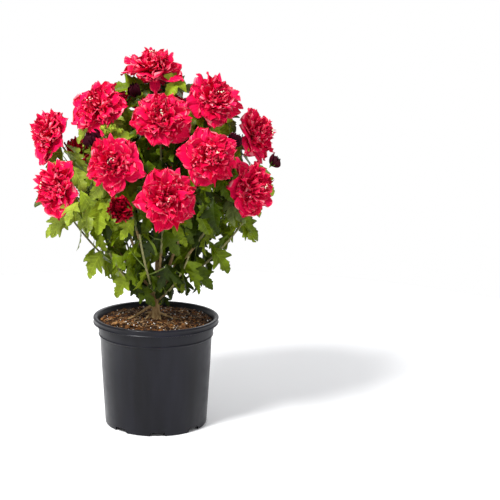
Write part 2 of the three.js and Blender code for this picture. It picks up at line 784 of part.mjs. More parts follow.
// What fits: inside the mass's space and the shrub's reach, off the bare limbs and the stems of
// other masses, and not buried in one of the mass's own blooms
function fitTests(mass, masses, limbs) {
  const stems = masses.filter((other) => other !== mass).flatMap((other) => other.stems);
  const samples = [...limbs, ...stems.flatMap((line) => limbSamples(line, SKIRT_STEM_RADIUS, 1))];
  const inside = (point, margin) => roomAt(mass, masses, point) > margin && inReach(point);
  const centres = mass.blooms.map(centreOf);
  const core = BLOOM_RADIUS * BLOOM_CORE;
  const offBlooms = (point) => centres.every((centre) => centre.distanceTo(point) > core);
  const leaves = [];
  const shoots = [];
  const addShoot = (line, steps) => {
    const points = line.getPoints(steps);
    points.slice(1).forEach((point, step) => shoots.push([points[step], point]));
  };
  const leaf = (corners) => {
    const [, left, tip, right] = corners;
    const edges = [[left, right], [left, tip], [right, tip]];
    const middles = edges.map(([one, other]) => one.clone().lerp(other, 0.5));
    const fits =
      [...corners, ...middles].every((point) => inside(point, CELL_MARGIN)) &&
      [left, tip, right, ...middles].every(offBlooms) &&
      leafHalves(corners).every((half) => clearOfLimbs(half, LEAF_THICKNESS, samples)) &&
      !anyCut(shoots, bladeHalves(corners)) &&
      !leaves.some((other) => leavesCross(corners, other));
    if (fits) {
      leaves.push(corners);
    }
    return fits;
  };
  const twig = (line) => {
    const [base, middle, end] = line.getPoints(2);
    return (
      [middle, end].every((point) => inside(point, TWIG_RADIUS + TWIG_MARGIN) && offBlooms(point)) &&
      clearOfLimbs(new THREE.Triangle(base, end, end), TWIG_RADIUS, samples) &&
      !leaves.some((corners) => anyCut([[base, end]], leafHalves(corners)))
    );
  };
  return { leaf, twig, addShoot };
}

function massGeometry(mass, masses, limbs) {
  const draw = randomStream(mass.seed);
  const fits = fitTests(mass, masses, limbs);
  const room = (point) => roomAt(mass, masses, point);
  const firstRadius = mass.split ? BOUGH_TIP_RADIUS : SKIRT_STEM_RADIUS;
  const pieces = mass.stems.map((line, order) => {
    const radii = taper(order ? SIDE_STEM_RADIUS : firstRadius, STEM_TIP_RADIUS, STEM_STEPS);
    return limbPiece(line, radii, STEM_SIDES);
  });
  const [stem] = mass.stems;
  mass.stems.forEach((line) => fits.addShoot(line, STEM_STEPS));
  for (const bud of BUDS.filter((each) => room(centreOf(each)) > 0)) {
    pieces.push(...budPieces(bud, stem, fits));
  }
  for (const line of mass.stems) {
    const to = mass.blooms.length ? BEARING_STEM_END : SKIRT_STEM_END;
    pieces.push(...growTwigs(line, FIRST_TWIG, to, draw, fits));
    pieces.push(...growLeaves(line, FIRST_LEAF, to, draw, fits.leaf));
  }
  if (!mass.blooms.length) {
    pieces.push(...endLeaf(stem, fits.leaf));
  }
  for (const bloom of mass.blooms) {
    pieces.push({ geometry: bloomGeometry(bloom, room), colour: COLOURS.petal });
  }
  return fuse(pieces);
}

// The whole shrub

const shrub = new THREE.Group();
shrub.name = "hibiscus_shrub";

function addMesh(name, geometry, look) {
  if (!geometry.attributes.normal) {
    geometry.computeVertexNormals();
  }
  const mesh = new THREE.Mesh(geometry, new THREE.MeshStandardMaterial(look));
  mesh.name = name;
  shrub.add(mesh);
}

addMesh("pot", potGeometry(), { color: COLOURS.pot, roughness: 0.42, flatShading: true });
addMesh("soil", soilGeometry(), { color: COLOURS.soil, roughness: 0.95, flatShading: true });
addMesh("trunk", toGeometry(trunk), { color: COLOURS.bark, roughness: 0.85, flatShading: true });

const names = [...new Set(BLOOMS.map(({ mass }) => mass))];
const masses = names.map(flowerMass);
for (let index = 0; index < SKIRTS; index += 1) {
  masses.push(skirtMass(index));
}

const bark = { color: COLOURS.bark, roughness: 0.85, flatShading: true };
const limbs = limbSamples(new THREE.LineCurve3(TRUNK_FOOT, TRUNK_TOP), TRUNK_RADIUS, 1);
for (const mass of masses.filter(({ blooms }) => blooms.length)) {
  mass.split = splitShare(mass, masses);
  limbs.push(...limbSamples(mass.line, BOUGH_RADIUS, mass.split));
  const line = stretch(mass.line, 0, mass.split, BOUGH_STEPS);
  const radii = taper(BOUGH_RADIUS, BOUGH_TIP_RADIUS, BOUGH_STEPS);
  addMesh(`bough_${mass.name}`, limbGeometry(line, radii, BOUGH_SIDES), bark);
}

for (const mass of masses) {
  mass.stems = stemLines(mass);
}

for (const mass of masses) {
  const look = { vertexColors: true, roughness: 0.6, flatShading: true };
  addMesh(`mass_${mass.name}`, massGeometry(mass, masses, limbs), look);
}

export default shrub;
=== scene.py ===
import math

import bpy
import numpy as np
from mathutils import Matrix, Vector


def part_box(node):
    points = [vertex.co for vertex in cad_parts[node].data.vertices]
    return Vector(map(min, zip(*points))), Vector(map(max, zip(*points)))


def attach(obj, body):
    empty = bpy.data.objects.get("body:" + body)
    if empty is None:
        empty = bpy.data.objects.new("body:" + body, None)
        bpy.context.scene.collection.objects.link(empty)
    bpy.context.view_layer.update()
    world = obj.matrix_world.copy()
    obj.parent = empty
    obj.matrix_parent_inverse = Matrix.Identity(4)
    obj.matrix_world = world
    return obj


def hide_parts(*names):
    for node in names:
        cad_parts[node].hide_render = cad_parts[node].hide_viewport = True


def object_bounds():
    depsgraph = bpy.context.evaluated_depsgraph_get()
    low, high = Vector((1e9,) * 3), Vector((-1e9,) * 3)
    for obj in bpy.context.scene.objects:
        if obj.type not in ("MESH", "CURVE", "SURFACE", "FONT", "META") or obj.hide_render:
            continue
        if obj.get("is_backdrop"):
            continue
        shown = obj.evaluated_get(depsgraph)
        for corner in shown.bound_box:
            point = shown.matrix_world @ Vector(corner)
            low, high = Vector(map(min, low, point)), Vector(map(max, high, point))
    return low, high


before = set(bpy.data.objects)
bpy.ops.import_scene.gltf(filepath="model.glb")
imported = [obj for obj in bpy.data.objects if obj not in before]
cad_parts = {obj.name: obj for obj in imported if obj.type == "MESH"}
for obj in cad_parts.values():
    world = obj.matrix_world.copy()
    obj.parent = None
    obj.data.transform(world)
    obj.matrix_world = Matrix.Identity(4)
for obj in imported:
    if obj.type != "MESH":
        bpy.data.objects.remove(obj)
CAD_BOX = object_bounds()
bpy.ops.object.select_all(action="DESELECT")


# Studio. A pale floor and a pale room, one large soft lamp at the upper left, a weaker one at the
# right and one behind. The camera stands 2.2 m in front and looks slightly down. Its picture is
# shifted sideways, because the plant stands in the left half of the frame.
CAMERA_PLACE = (0, -2.2, 0.763)
CAMERA_DOWN = math.radians(11.02)
PICTURE_SIDE = 500
FOCAL_LENGTH_PIXELS = 1238
PLANT_AXIS_PIXEL = 156
HORIZON_PIXEL = 243
SENSOR = 36
FLOOR_RADIUS = 1.3
FLOOR_SIDES = 96
ROOM_WALLS = (1, 1, 1, 1)
ROOM_CEILING = (0.4, 0.41, 0.43, 1)
WALL_TOP = 0.12
CEILING_EDGE = 0.4
LAMPS = [
    {"name": "key", "place": (-1.25, -1.35, 2.5), "size": 0.8, "power": 121},
    {"name": "fill", "place": (1.9, -1.5, 1.6), "size": 1.6, "power": 8},
    {"name": "back", "place": (0.4, 2.0, 1.9), "size": 1.4, "power": 26},
]
AIM = Vector((0, 0, 0.38))

camera = bpy.data.objects.new("camera", bpy.data.cameras.new("camera"))
camera.location = CAMERA_PLACE
camera.rotation_euler = (math.pi / 2 - CAMERA_DOWN, 0, 0)
camera.data.sensor_width = SENSOR
camera.data.lens = FOCAL_LENGTH_PIXELS / PICTURE_SIDE * SENSOR
camera.data.shift_x = (PICTURE_SIDE / 2 - PLANT_AXIS_PIXEL) / PICTURE_SIDE
camera.data.shift_y = (HORIZON_PIXEL - PICTURE_SIDE / 2) / PICTURE_SIDE
bpy.context.scene.collection.objects.link(camera)
bpy.context.scene.camera = camera
bpy.context.scene.view_settings.view_transform = "Standard"

for lamp in LAMPS:
    light = bpy.data.lights.new(lamp["name"], "AREA")
    light.shape = "DISK"
    light.size = lamp["size"]
    light.energy = lamp["power"]
    holder = bpy.data.objects.new(lamp["name"], light)
    holder.location = lamp["place"]
    holder.rotation_euler = (AIM - holder.location).to_track_quat("-Z", "Y").to_euler()
    bpy.context.scene.collection.objects.link(holder)

room = bpy.data.worlds.new("room")
room.use_nodes = True
room_nodes = room.node_tree.nodes
facing = room_nodes.new("ShaderNodeTexCoord")
height_parts = room_nodes.new("ShaderNodeSeparateXYZ")
tone = room_nodes.new("ShaderNodeValToRGB")
tone.color_ramp.elements[0].position = WALL_TOP
tone.color_ramp.elements[0].color = ROOM_WALLS
tone.color_ramp.elements[1].position = CEILING_EDGE
tone.color_ramp.elements[1].color = ROOM_CEILING
room.node_tree.links.new(facing.outputs["Generated"], height_parts.inputs["Vector"])
room.node_tree.links.new(height_parts.outputs["Z"], tone.inputs["Fac"])
room.node_tree.links.new(tone.outputs["Color"], room_nodes["Background"].inputs["Color"])
bpy.context.scene.world = room

bpy.ops.mesh.primitive_circle_add(vertices=FLOOR_SIDES, radius=FLOOR_RADIUS, fill_type="NGON")
floor = bpy.context.object
floor.name = "floor"
floor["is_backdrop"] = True


def shader(name, colour, roughness, **sockets):
    """A new material with its colour and roughness set, its node tree and its surface shader."""
    material = bpy.data.materials.new(name)
    material.use_nodes = True
    surface = material.node_tree.nodes["Principled BSDF"]
    surface.inputs["Base Color"].default_value = (*colour, 1)
    surface.inputs["Roughness"].default_value = roughness
    for socket, value in sockets.items():
        surface.inputs[socket.replace("_", " ")].default_value = value
    return material, material.node_tree, surface


floor_paper, _, _ = shader("pale_floor", (0.95, 0.95, 0.95), 0.7)
floor.data.materials.append(floor_paper)


# Pot. A blow-moulded nursery pot of thin black polypropylene: a rolled rim with a lip under it, a
# shallow step below the rim, tapering sides and eight drain notches in its bottom edge. It is one
# moulding, drawn here as a disc that is extruded up the outside, over the rim and down inside.
MM = 0.001
pot_low, pot_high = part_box("pot")
POT_HEIGHT = pot_high.z / MM
RIM_RADIUS = (pot_high.x - pot_low.x) / 2 / MM
POT_SIDES = 144
BASE_RADIUS = 94
STEP_HEIGHT = 167
INNER_STEP = (100.6, 165)
INNER_TOP = (106.2, 196.5)
FLOOR_UNDERSIDE = 8.5
FLOOR_TOP = 10.5
INNER_FOOT = (BASE_RADIUS - 1.8, FLOOR_TOP)
NOTCHES = 8
NOTCH_SIZE = (28, 26, 14)
NOTCH_ROUNDING = 3
POT_CREASE = math.radians(40)
FIRST_NOTCH = math.radians(-88)
POT_PROFILE = [
    (BASE_RADIUS - 3.4, FLOOR_UNDERSIDE),
    (BASE_RADIUS - 3.2, 0.4),
    (BASE_RADIUS - 2.6, 0),
    (BASE_RADIUS - 1.4, 0),
    (BASE_RADIUS - 0.5, 0.6),
    (BASE_RADIUS, 2.6),
    (97, 55),
    (100, 110),
    (102.4, STEP_HEIGHT - 3),
    (103, STEP_HEIGHT - 2),
    (105, STEP_HEIGHT - 0.8),
    (105.5, STEP_HEIGHT + 0.3),
    (105.2, STEP_HEIGHT + 1.4),
    (104.3, STEP_HEIGHT + 2),
    (104.3, STEP_HEIGHT + 3.2),
    (106.4, POT_HEIGHT - 21),
    (107.2, POT_HEIGHT - 11.5),
    (108, POT_HEIGHT - 11.8),
    (RIM_RADIUS - 1.4, POT_HEIGHT - 11.9),
    (RIM_RADIUS - 0.5, POT_HEIGHT - 11.5),
    (RIM_RADIUS - 0.1, POT_HEIGHT - 10.6),
    (RIM_RADIUS - 0.5, POT_HEIGHT - 9.6),
    (RIM_RADIUS - 1.4, POT_HEIGHT - 9),
    (RIM_RADIUS - 1.6, POT_HEIGHT - 6),
    (RIM_RADIUS - 1, POT_HEIGHT - 4.6),
    (RIM_RADIUS, POT_HEIGHT - 3),
    (RIM_RADIUS - 0.2, POT_HEIGHT - 1.5),
    (RIM_RADIUS - 1.1, POT_HEIGHT - 0.4),
    (RIM_RADIUS - 2.6, POT_HEIGHT),
    (RIM_RADIUS - 4.6, POT_HEIGHT),
    (RIM_RADIUS - 6.4, POT_HEIGHT - 0.7),
    (RIM_RADIUS - 7.6, POT_HEIGHT - 2),
    INNER_TOP,
    INNER_STEP,
    INNER_FOOT,
]


def turned_shell(name, profile, sides):
    """A closed round body: a disc extruded and resized from each point of the profile to the next."""
    bpy.ops.object.select_all(action="DESELECT")
    radius, height = profile[0]
    bpy.ops.mesh.primitive_circle_add(vertices=sides, radius=radius * MM, fill_type="NGON")
    shell = bpy.context.object
    shell.name = name
    bpy.ops.object.mode_set(mode="EDIT")
    bpy.ops.mesh.select_all(action="SELECT")
    bpy.ops.transform.translate(value=(0, 0, height * MM))
    for next_radius, next_height in profile[1:]:
        rise = (next_height - height) * MM
        bpy.ops.mesh.extrude_region_move(TRANSFORM_OT_translate={"value": (0, 0, rise)})
        grow = next_radius / radius
        middle = (0, 0, next_height * MM)
        bpy.ops.transform.resize(value=(grow, grow, 1), center_override=middle)
        radius, height = next_radius, next_height
    bpy.ops.mesh.select_all(action="SELECT")
    bpy.ops.mesh.normals_make_consistent(inside=False)
    bpy.ops.object.mode_set(mode="OBJECT")
    return shell


def select_only(pieces):
    """Selects these pieces alone, with the first of them active."""
    bpy.ops.object.select_all(action="DESELECT")
    for piece in pieces:
        piece.select_set(True)
    bpy.context.view_layer.objects.active = pieces[0]


def apply_modifier(piece, kind, **settings):
    """Adds a modifier with these settings to the piece and applies it."""
    modifier = piece.modifiers.new(kind.lower(), kind)
    for setting, value in settings.items():
        setattr(modifier, setting, value)
    select_only([piece])
    bpy.ops.object.modifier_apply(modifier=modifier.name)


pot = turned_shell("nursery_pot", POT_PROFILE, POT_SIDES)

cutters = []
for index in range(NOTCHES):
    turn = FIRST_NOTCH + index * 2 * math.pi / NOTCHES
    place = Vector((math.cos(turn), math.sin(turn), 0)) * BASE_RADIUS * MM
    bpy.ops.mesh.primitive_cube_add(size=1, location=place, rotation=(0, 0, turn))
    bpy.context.object.scale = [side * MM for side in NOTCH_SIZE]
    cutters.append(bpy.context.object)
select_only(cutters)
bpy.ops.object.join()
bpy.ops.object.transform_apply(location=True, rotation=True, scale=True)
cutter = bpy.context.object
apply_modifier(cutter, "BEVEL", width=NOTCH_ROUNDING * MM, segments=4, limit_method="NONE")
apply_modifier(pot, "BOOLEAN", operation="DIFFERENCE", solver="EXACT", object=cutter)
bpy.data.objects.remove(cutter)
select_only([pot])
bpy.ops.object.shade_smooth_by_angle(angle=POT_CREASE)


def noise(tree, scale, detail, stretch=(1, 1, 1)):
    """The height of a noise pattern in the piece's own coordinates, drawn out by the stretch."""
    place = tree.nodes.new("ShaderNodeTexCoord")
    mapping = tree.nodes.new("ShaderNodeMapping")
    mapping.inputs["Scale"].default_value = stretch
    pattern = tree.nodes.new("ShaderNodeTexNoise")
    pattern.inputs["Scale"].default_value = scale
    pattern.inputs["Detail"].default_value = detail
    tree.links.new(place.outputs["Object"], mapping.inputs["Vector"])
    tree.links.new(mapping.outputs["Vector"], pattern.inputs["Vector"])
    return pattern.outputs["Fac"]


def ramp(tree, value, stops):
    """Colours dealt out by a value between 0 and 1: a list of (position, colour)."""
    node = tree.nodes.new("ShaderNodeValToRGB")
    elements = node.color_ramp.elements
    while len(elements) < len(stops):
        elements.new(1)
    for element, (position, colour) in zip(elements, stops):
        element.position = position
        element.color = (*colour, 1)
    tree.links.new(value, node.inputs["Fac"])
    return node.outputs["Color"]


def scaled_range(tree, value, low, high, start=0.3, end=0.7):
    """A value between start and end, spread between low and high."""
    node = tree.nodes.new("ShaderNodeMapRange")
    node.inputs["From Min"].default_value = start
    node.inputs["From Max"].default_value = end
    node.inputs["To Min"].default_value = low
    node.inputs["To Max"].default_value = high
    tree.links.new(value, node.inputs["Value"])
    return node.outputs["Result"]


def add_bump(tree, surface, height, strength, distance):
    """Small relief on the shading, from a height pattern."""
    node = tree.nodes.new("ShaderNodeBump")
    node.inputs["Strength"].default_value = strength
    node.inputs["Distance"].default_value = distance * MM
    tree.links.new(height, node.inputs["Height"])
    tree.links.new(node.outputs["Normal"], surface.inputs["Normal"])


plastic, tree, surface = shader("black_polypropylene", (0.01, 0.01, 0.012), 0.36, Specular_IOR_Level=0.19)
# Faint vertical streaks in the black base colour stand in for the satin's soft vertical sheen: a painted
# sheen.
painted_sheen_streaks = noise(tree, 26, 4, (1, 1, 0.12))
tree.links.new(
    ramp(tree, painted_sheen_streaks, [(0.35, (0.004, 0.004, 0.006)), (0.7, (0.01, 0.01, 0.016))]),
    surface.inputs["Base Color"],
)
tree.links.new(scaled_range(tree, noise(tree, 60, 5), 0.28, 0.4), surface.inputs["Roughness"])
add_bump(tree, surface, noise(tree, 420, 3), 0.12, 0.3)
pot.data.materials.append(plastic)
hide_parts("pot")
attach(pot, "root")


# Bark mix. Composted pine bark in dark and orange-brown flakes with white perlite, filled nearly
# to the rim and sunk a little at the wall. The body is turned like the pot, and its top is
# roughened, strewn with flakes and crossed by fine pale root ends.
SOIL_LEVEL = 194
SOIL_EDGE_LEVEL = 190
SOIL_FLAT_RADIUS = 72
SOIL_GAP = 0.4
SOIL_SIDES = 110
SOIL_RINGS = 36
SOIL_LUMP_SIZE = 11
SOIL_RELIEF = 7
FLAKES = 4200
FLAKE_LENGTH = (1.5, 4.2)
FLAKE_STRETCH = (1, 1, 1, 1, 1.9)
FLAKE_TILT = 0.7
ANY_TILT = 3
PERLITE_GRAINS = 95
GRAIN_RADIUS = (0.7, 1.6)
ROOT_ENDS = 105
ROOT_END_RADIUS = (0.35, 0.7)
ROOT_END_STEP = 3
FLAKE_COLOURS = [
    ("dark_bark", (0.02, 0.009, 0.004), 0.45),
    ("brown_bark", (0.07, 0.028, 0.008), 0.36),
    ("orange_bark", (0.16, 0.062, 0.014), 0.14),
    ("pale_bark", (0.25, 0.13, 0.048), 0.05),
]


def soil_height(reach):
    """Level of the bark mix at this distance from the middle, before it is roughened."""
    share = np.clip((reach - SOIL_FLAT_RADIUS) / (INNER_TOP[0] - SOIL_FLAT_RADIUS), 0, 1)
    return SOIL_LEVEL + (SOIL_EDGE_LEVEL - SOIL_LEVEL) * share


wall_share = (SOIL_EDGE_LEVEL - INNER_STEP[1]) / (INNER_TOP[1] - INNER_STEP[1])
soil_wall = INNER_STEP[0] + (INNER_TOP[0] - INNER_STEP[0]) * wall_share
soil_profile = [
    (INNER_FOOT[0] - SOIL_GAP, INNER_FOOT[1] + SOIL_GAP),
    (INNER_STEP[0] - SOIL_GAP, INNER_STEP[1]),
]
for ring in range(SOIL_RINGS):
    reach = (soil_wall - SOIL_GAP) * (1 - ring / SOIL_RINGS)
    soil_profile.append((reach, float(soil_height(reach))))
soil = turned_shell("bark_mix", soil_profile, SOIL_SIDES)
soil_top = soil.vertex_groups.new(name="top")
soil_top.add([v.index for v in soil.data.vertices if v.co.z > (SOIL_EDGE_LEVEL - 1) * MM], 1, "ADD")
lumps = bpy.data.textures.new("lumps", "CLOUDS")
lumps.noise_scale = SOIL_LUMP_SIZE * MM
lumps.noise_depth = 3
apply_modifier(
    soil, "DISPLACE", texture=lumps, texture_coords="LOCAL", direction="Z",
    strength=SOIL_RELIEF * MM, mid_level=0.55, vertex_group="top",
)
bpy.ops.object.shade_smooth()

random = np.random.default_rng(11)


def rotations(count, tilt):
    """Turning matrices: any turn about the vertical after a lean of up to the tilt."""
    matrices = []
    for _ in range(count):
        lean = Matrix.Rotation(random.uniform(-tilt, tilt), 3, "X")
        roll = Matrix.Rotation(random.uniform(-tilt, tilt), 3, "Y")
        spin = Matrix.Rotation(random.uniform(0, 2 * math.pi), 3, "Z")
        matrices.append(np.array(spin @ lean @ roll))
    return np.array(matrices)


def mesh_piece(name, points, faces, slots=None, uvs=None, smooth=True):
    """A new object from points in millimetres, faces, the material slot of each face and the
    place of each point on the UV map."""
    mesh = bpy.data.meshes.new(name)
    mesh.from_pydata((points * MM).tolist(), [], faces if isinstance(faces, list) else faces.tolist())
    mesh.polygons.foreach_set("use_smooth", [smooth] * len(mesh.polygons))
    if slots is not None:
        mesh.polygons.foreach_set("material_index", np.asarray(slots, dtype=np.int32))
    if uvs is not None:
        layer = mesh.uv_layers.new(name="surface")
        corners = np.zeros(len(mesh.loops), dtype=np.int32)
        mesh.loops.foreach_get("vertex_index", corners)
        layer.data.foreach_set("uv", np.asarray(uvs, dtype=np.float32)[corners].ravel())
    piece = bpy.data.objects.new(name, mesh)
    bpy.context.scene.collection.objects.link(piece)
    return piece


def lump_shape(detail):
    """Corners and faces of a rounded lump, from an icosphere."""
    bpy.ops.mesh.primitive_ico_sphere_add(subdivisions=detail, radius=1)
    lump = bpy.context.object
    corners = np.array([v.co[:] for v in lump.data.vertices])
    faces = np.array([p.vertices[:] for p in lump.data.polygons])
    bpy.data.objects.remove(lump)
    return corners, faces


def strewn(corners, faces, sizes, turns, places, jitter):
    """Copies of one lump, each with its own size, turn and place, and with uneven corners."""
    count = len(sizes)
    uneven = 1 + random.uniform(-jitter, jitter, (count, len(corners), 1))
    copies = corners[None] * uneven * sizes[:, None, :]
    copies = np.einsum("nij,nkj->nki", turns, copies) + places[:, None, :]
    shifts = np.arange(count)[:, None, None] * len(corners)
    return copies.reshape(-1, 3), (faces[None] + shifts).reshape(-1, 3)


def scattered(count, inner, outer, lift):
    """Places spread evenly over the bark mix."""
    reach = np.sqrt(random.uniform(inner**2, outer**2, count))
    turn = random.uniform(0, 2 * math.pi, count)
    height = soil_height(reach) + random.uniform(lift[0], lift[1], count)
    return np.stack([reach * np.cos(turn), reach * np.sin(turn), height], axis=1)


lump_corners, lump_faces = lump_shape(1)
length = random.uniform(*FLAKE_LENGTH, FLAKES) * random.choice(FLAKE_STRETCH, FLAKES)
flake_sizes = np.stack([length, length * random.uniform(0.3, 0.6, FLAKES), length * 0.2], axis=1)
points, faces = strewn(
    lump_corners, lump_faces, flake_sizes, rotations(FLAKES, FLAKE_TILT),
    scattered(FLAKES, 8, soil_wall - 6, (-0.8, 1.4)), 0.3,
)
shares = np.array([share for _, _, share in FLAKE_COLOURS])
kinds = random.choice(len(FLAKE_COLOURS), FLAKES, p=shares / shares.sum())
flakes = mesh_piece("bark_flakes", points, faces, np.repeat(kinds, len(lump_faces)), smooth=False)


def tinted(colour, factor, lift=0):
    """A colour made paler or darker."""
    return tuple(channel * factor + lift for channel in colour)


def mottled(name, dark, pale, scale, roughness, relief, stretch=(1, 1, 1)):
    """A rough natural surface: two tones mixed by a noise pattern, with relief in millimetres."""
    material, tree, surface = shader(name, dark, roughness, Specular_IOR_Level=0.2)
    pattern = noise(tree, scale, 6, stretch)
    tree.links.new(ramp(tree, pattern, [(0.35, dark), (0.68, pale)]), surface.inputs["Base Color"])
    add_bump(tree, surface, noise(tree, scale * 2.5, 5, stretch), 0.6, relief)
    return material


for name, colour, _ in FLAKE_COLOURS:
    flakes.data.materials.append(mottled(name, colour, tinted(colour, 1.9), 260, 0.85, 0.4))
soil.data.materials.append(mottled("damp_mix", (0.012, 0.007, 0.005), (0.06, 0.03, 0.017), 230, 0.95, 1.2))

grain_corners, grain_faces = lump_shape(2)
grain_sizes = random.uniform(*GRAIN_RADIUS, (PERLITE_GRAINS, 1)) * random.uniform(0.7, 1, (PERLITE_GRAINS, 3))
points, faces = strewn(
    grain_corners, grain_faces, grain_sizes, rotations(PERLITE_GRAINS, ANY_TILT),
    scattered(PERLITE_GRAINS, 16, soil_wall - 5, (1.0, 2.2)), 0.12,
)
perlite = mesh_piece("perlite", points, faces)
perlite.data.materials.append(mottled("white_perlite", (0.72, 0.68, 0.62), (0.9, 0.88, 0.85), 500, 0.8, 0.3))


# A way that no limb points in: the sides of limbs and of flowers are measured from it
SLANT = np.array([0.31, 0.17, 0.93])


def tube(line, radii, sides):
    """Points and faces of a round limb along a line of points, closed at both ends."""
    line = np.asarray(line, dtype=float)
    along = np.gradient(line, axis=0)
    along /= np.linalg.norm(along, axis=1, keepdims=True)
    across = SLANT
    turns = np.arange(sides) * 2 * math.pi / sides
    rings = []
    for point, heading, radius in zip(line, along, radii):
        across = across - heading * across.dot(heading)
        across /= np.linalg.norm(across)
        other = np.cross(heading, across)
        spokes = np.cos(turns)[:, None] * across + np.sin(turns)[:, None] * other
        rings.append(point + spokes * radius)
    points = np.concatenate(rings)
    faces = []
    for ring in range(len(line) - 1):
        for side in range(sides):
            a = ring * sides + side
            b = ring * sides + (side + 1) % sides
            faces.append([a, b, b + sides, a + sides])
    last = (len(line) - 1) * sides
    faces.append(list(range(sides))[::-1])
    faces.append([last + side for side in range(sides)])
    return points, faces


def solid_piece(name, parts):
    """One new object from many parts, each with its points and its faces of any number of corners."""
    points = []
    faces = []
    start = 0
    for part_points, part_faces in parts:
        points.append(part_points)
        faces.extend([[corner + start for corner in face] for face in part_faces])
        start += len(part_points)
    return mesh_piece(name, np.concatenate(points), faces)


def root_end():
    """A fine root that lies in loose bends on the bark mix."""
    start = scattered(1, 14, soil_wall - 22, (0.8, 1.6))[0]
    heading = random.uniform(0, 2 * math.pi)
    line = [start]
    for _ in range(random.integers(5, 11)):
        heading += random.normal(0, 0.45)
        step = np.array([math.cos(heading), math.sin(heading), 0]) * ROOT_END_STEP
        point = line[-1] + step
        reach = min(math.hypot(point[0], point[1]), soil_wall - 4)
        point[2] = float(soil_height(reach)) + random.uniform(0.9, 2.6)
        line.append(point)
    thickness = random.uniform(*ROOT_END_RADIUS)
    return tube(line, np.linspace(thickness, thickness * 0.5, len(line)), 5)


fibres = solid_piece("fine_roots", [root_end() for _ in range(ROOT_ENDS)])
fibres.data.materials.append(mottled("root_skin", (0.26, 0.15, 0.07), (0.46, 0.31, 0.16), 300, 0.7, 0.3))
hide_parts("soil")
for piece in (soil, flakes, perlite, fibres):
    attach(piece, "root")


# Limbs. A short single trunk with a flared foot and surface roots, and slim boughs that fan out of
# it. The bark is thin and tan-grey with shallow furrows along the wood and small raised pores. The
# wood is one grown body: tubes along each limb's line are melted together and then roughened.
TRUNK_FOOT = np.array([-1, 0, 194.3])
TRUNK_TOP = np.array([1, 2, 269])
TRUNK_RADII = [(-3, 12.5), (4, 10), (14, 7.6), (40, 7), (74.7, 6.4)]
GAP = 0.3
ROOTS = [
    {"azimuth": 188, "reach": 54, "rise": 30, "radius": 3.2},
    {"azimuth": 212, "reach": 27, "rise": 19, "radius": 2.6},
    {"azimuth": -62, "reach": 25, "rise": 11, "radius": 3.2},
    {"azimuth": -14, "reach": 49, "rise": 13, "radius": 2.4},
    {"azimuth": 48, "reach": 38, "rise": 12, "radius": 3.0},
    {"azimuth": 118, "reach": 45, "rise": 14, "radius": 2.8},
]
WOOD_VOXEL = 0.85
FURROW_SIZE = 4.5
FURROW_DEPTH = 0.9
BOUGH_RADIUS = 3.1
BOUGH_TIP_RADIUS = 2.2
STEM_TIP_RADIUS = 1.5
FIRST_FORK_HEIGHT = 245
FORK_SPACING = 7.5
BOUGH_LIFT = -0.12
SIDE_STEM_LIFT = 0.2
SIDE_STEM_FORK = 0.225
LEAVING = 0.42
ARRIVING = 0.22
BLOOM_RADIUS = 51
BLOOM_BACK = 0.3
BLOOMS = [
    ("top", -121, 12, 655, (-100, 72)),
    ("left", -160, 191, 446, (-150, 12)),
    ("left", 171, 204, 530, (-157, 28)),
    ("front_left", -117, 158, 498, (-104, 16)),
    ("front_left", -150, 121, 588, (-118, 32)),
    ("front", -83, 166, 441, (-84, 10)),
    ("front", -85, 98, 571, (-88, 28)),
    ("front_right", -53, 156, 509, (-72, 20)),
    ("front_right", -22, 111, 599, (-66, 30)),
    ("right", -20, 182, 445, (-32, 12)),
    ("right", 9, 189, 530, (-14, 20)),
    ("back_right", 38, 172, 450, (42, 14)),
    ("back_right", 38, 125, 575, (50, 30)),
    ("back", 86, 168, 470, (90, 16)),
    ("back", 92, 92, 602, (94, 38)),
    ("back_left", 134, 172, 450, (128, 12)),
    ("back_left", 142, 125, 572, (130, 32)),
]
SKIRTS = 8
SKIRT_FIRST_AZIMUTH = -100
SKIRT_REACH = (160, 100)
SKIRT_HEIGHT = (380, 328)
SKIRT_START = (240, 231)
SKIRT_RISE = 30
SKIRT_HANG = 42
SKIRT_STEM_RADIUS = 2.2
LIMB_SITE = 0.52
BOUGH_SHARES = (0.3, 0.8)
BOUGH_CLEARANCE = 7
LINE_POINTS = 60
ROOT_KNEE = (0.45, 0.42)
ROOT_WANDER = 1.6
LIMB_OVERLAP = 9
SKIRT_STUB = 12
BOUGH_KNOTS = 31
KNOT_SWELL = 0.16
UP = np.array([0.0, 0.0, 1.0])


def cylindrical(azimuth, reach, height):
    angle = math.radians(azimuth)
    return np.array([reach * math.cos(angle), reach * math.sin(angle), height])


def direction(azimuth, elevation):
    rise = math.radians(elevation)
    return cylindrical(azimuth, math.cos(rise), math.sin(rise))


def unit(vector):
    return vector / np.linalg.norm(vector)


def bezier(*knots):
    """Points of a smooth line from its first knot to its last, drawn towards those between."""
    degree = len(knots) - 1
    share = np.linspace(0, 1, LINE_POINTS)[:, None]
    line = np.zeros((LINE_POINTS, 3))
    for order, knot in enumerate(knots):
        weight = math.comb(degree, order) * share**order * (1 - share) ** (degree - order)
        line += weight * knot
    return line


def trunk_point(height):
    share = (height - TRUNK_FOOT[2]) / (TRUNK_TOP[2] - TRUNK_FOOT[2])
    return TRUNK_FOOT + (TRUNK_TOP - TRUNK_FOOT) * share


def fork_point(height, heading, radius):
    """Where a limb's own wood begins, at the side of the trunk."""
    outward = unit(heading * [1, 1, 0])
    rings = np.array(TRUNK_RADII)
    thickness = np.interp(height - TRUNK_FOOT[2], rings[:, 0], rings[:, 1])
    return trunk_point(height) + outward * (thickness + GAP + radius * heading[2] * 0.9)


def limb_line(start, heading, centre, face):
    end = centre - face * BLOOM_RADIUS * BLOOM_BACK
    span = np.linalg.norm(end - start)
    return bezier(start, start + heading * span * LEAVING, end - face * span * ARRIVING, end)


def heading_to(centre, start, lift):
    return unit(unit(centre - start) + UP * lift)


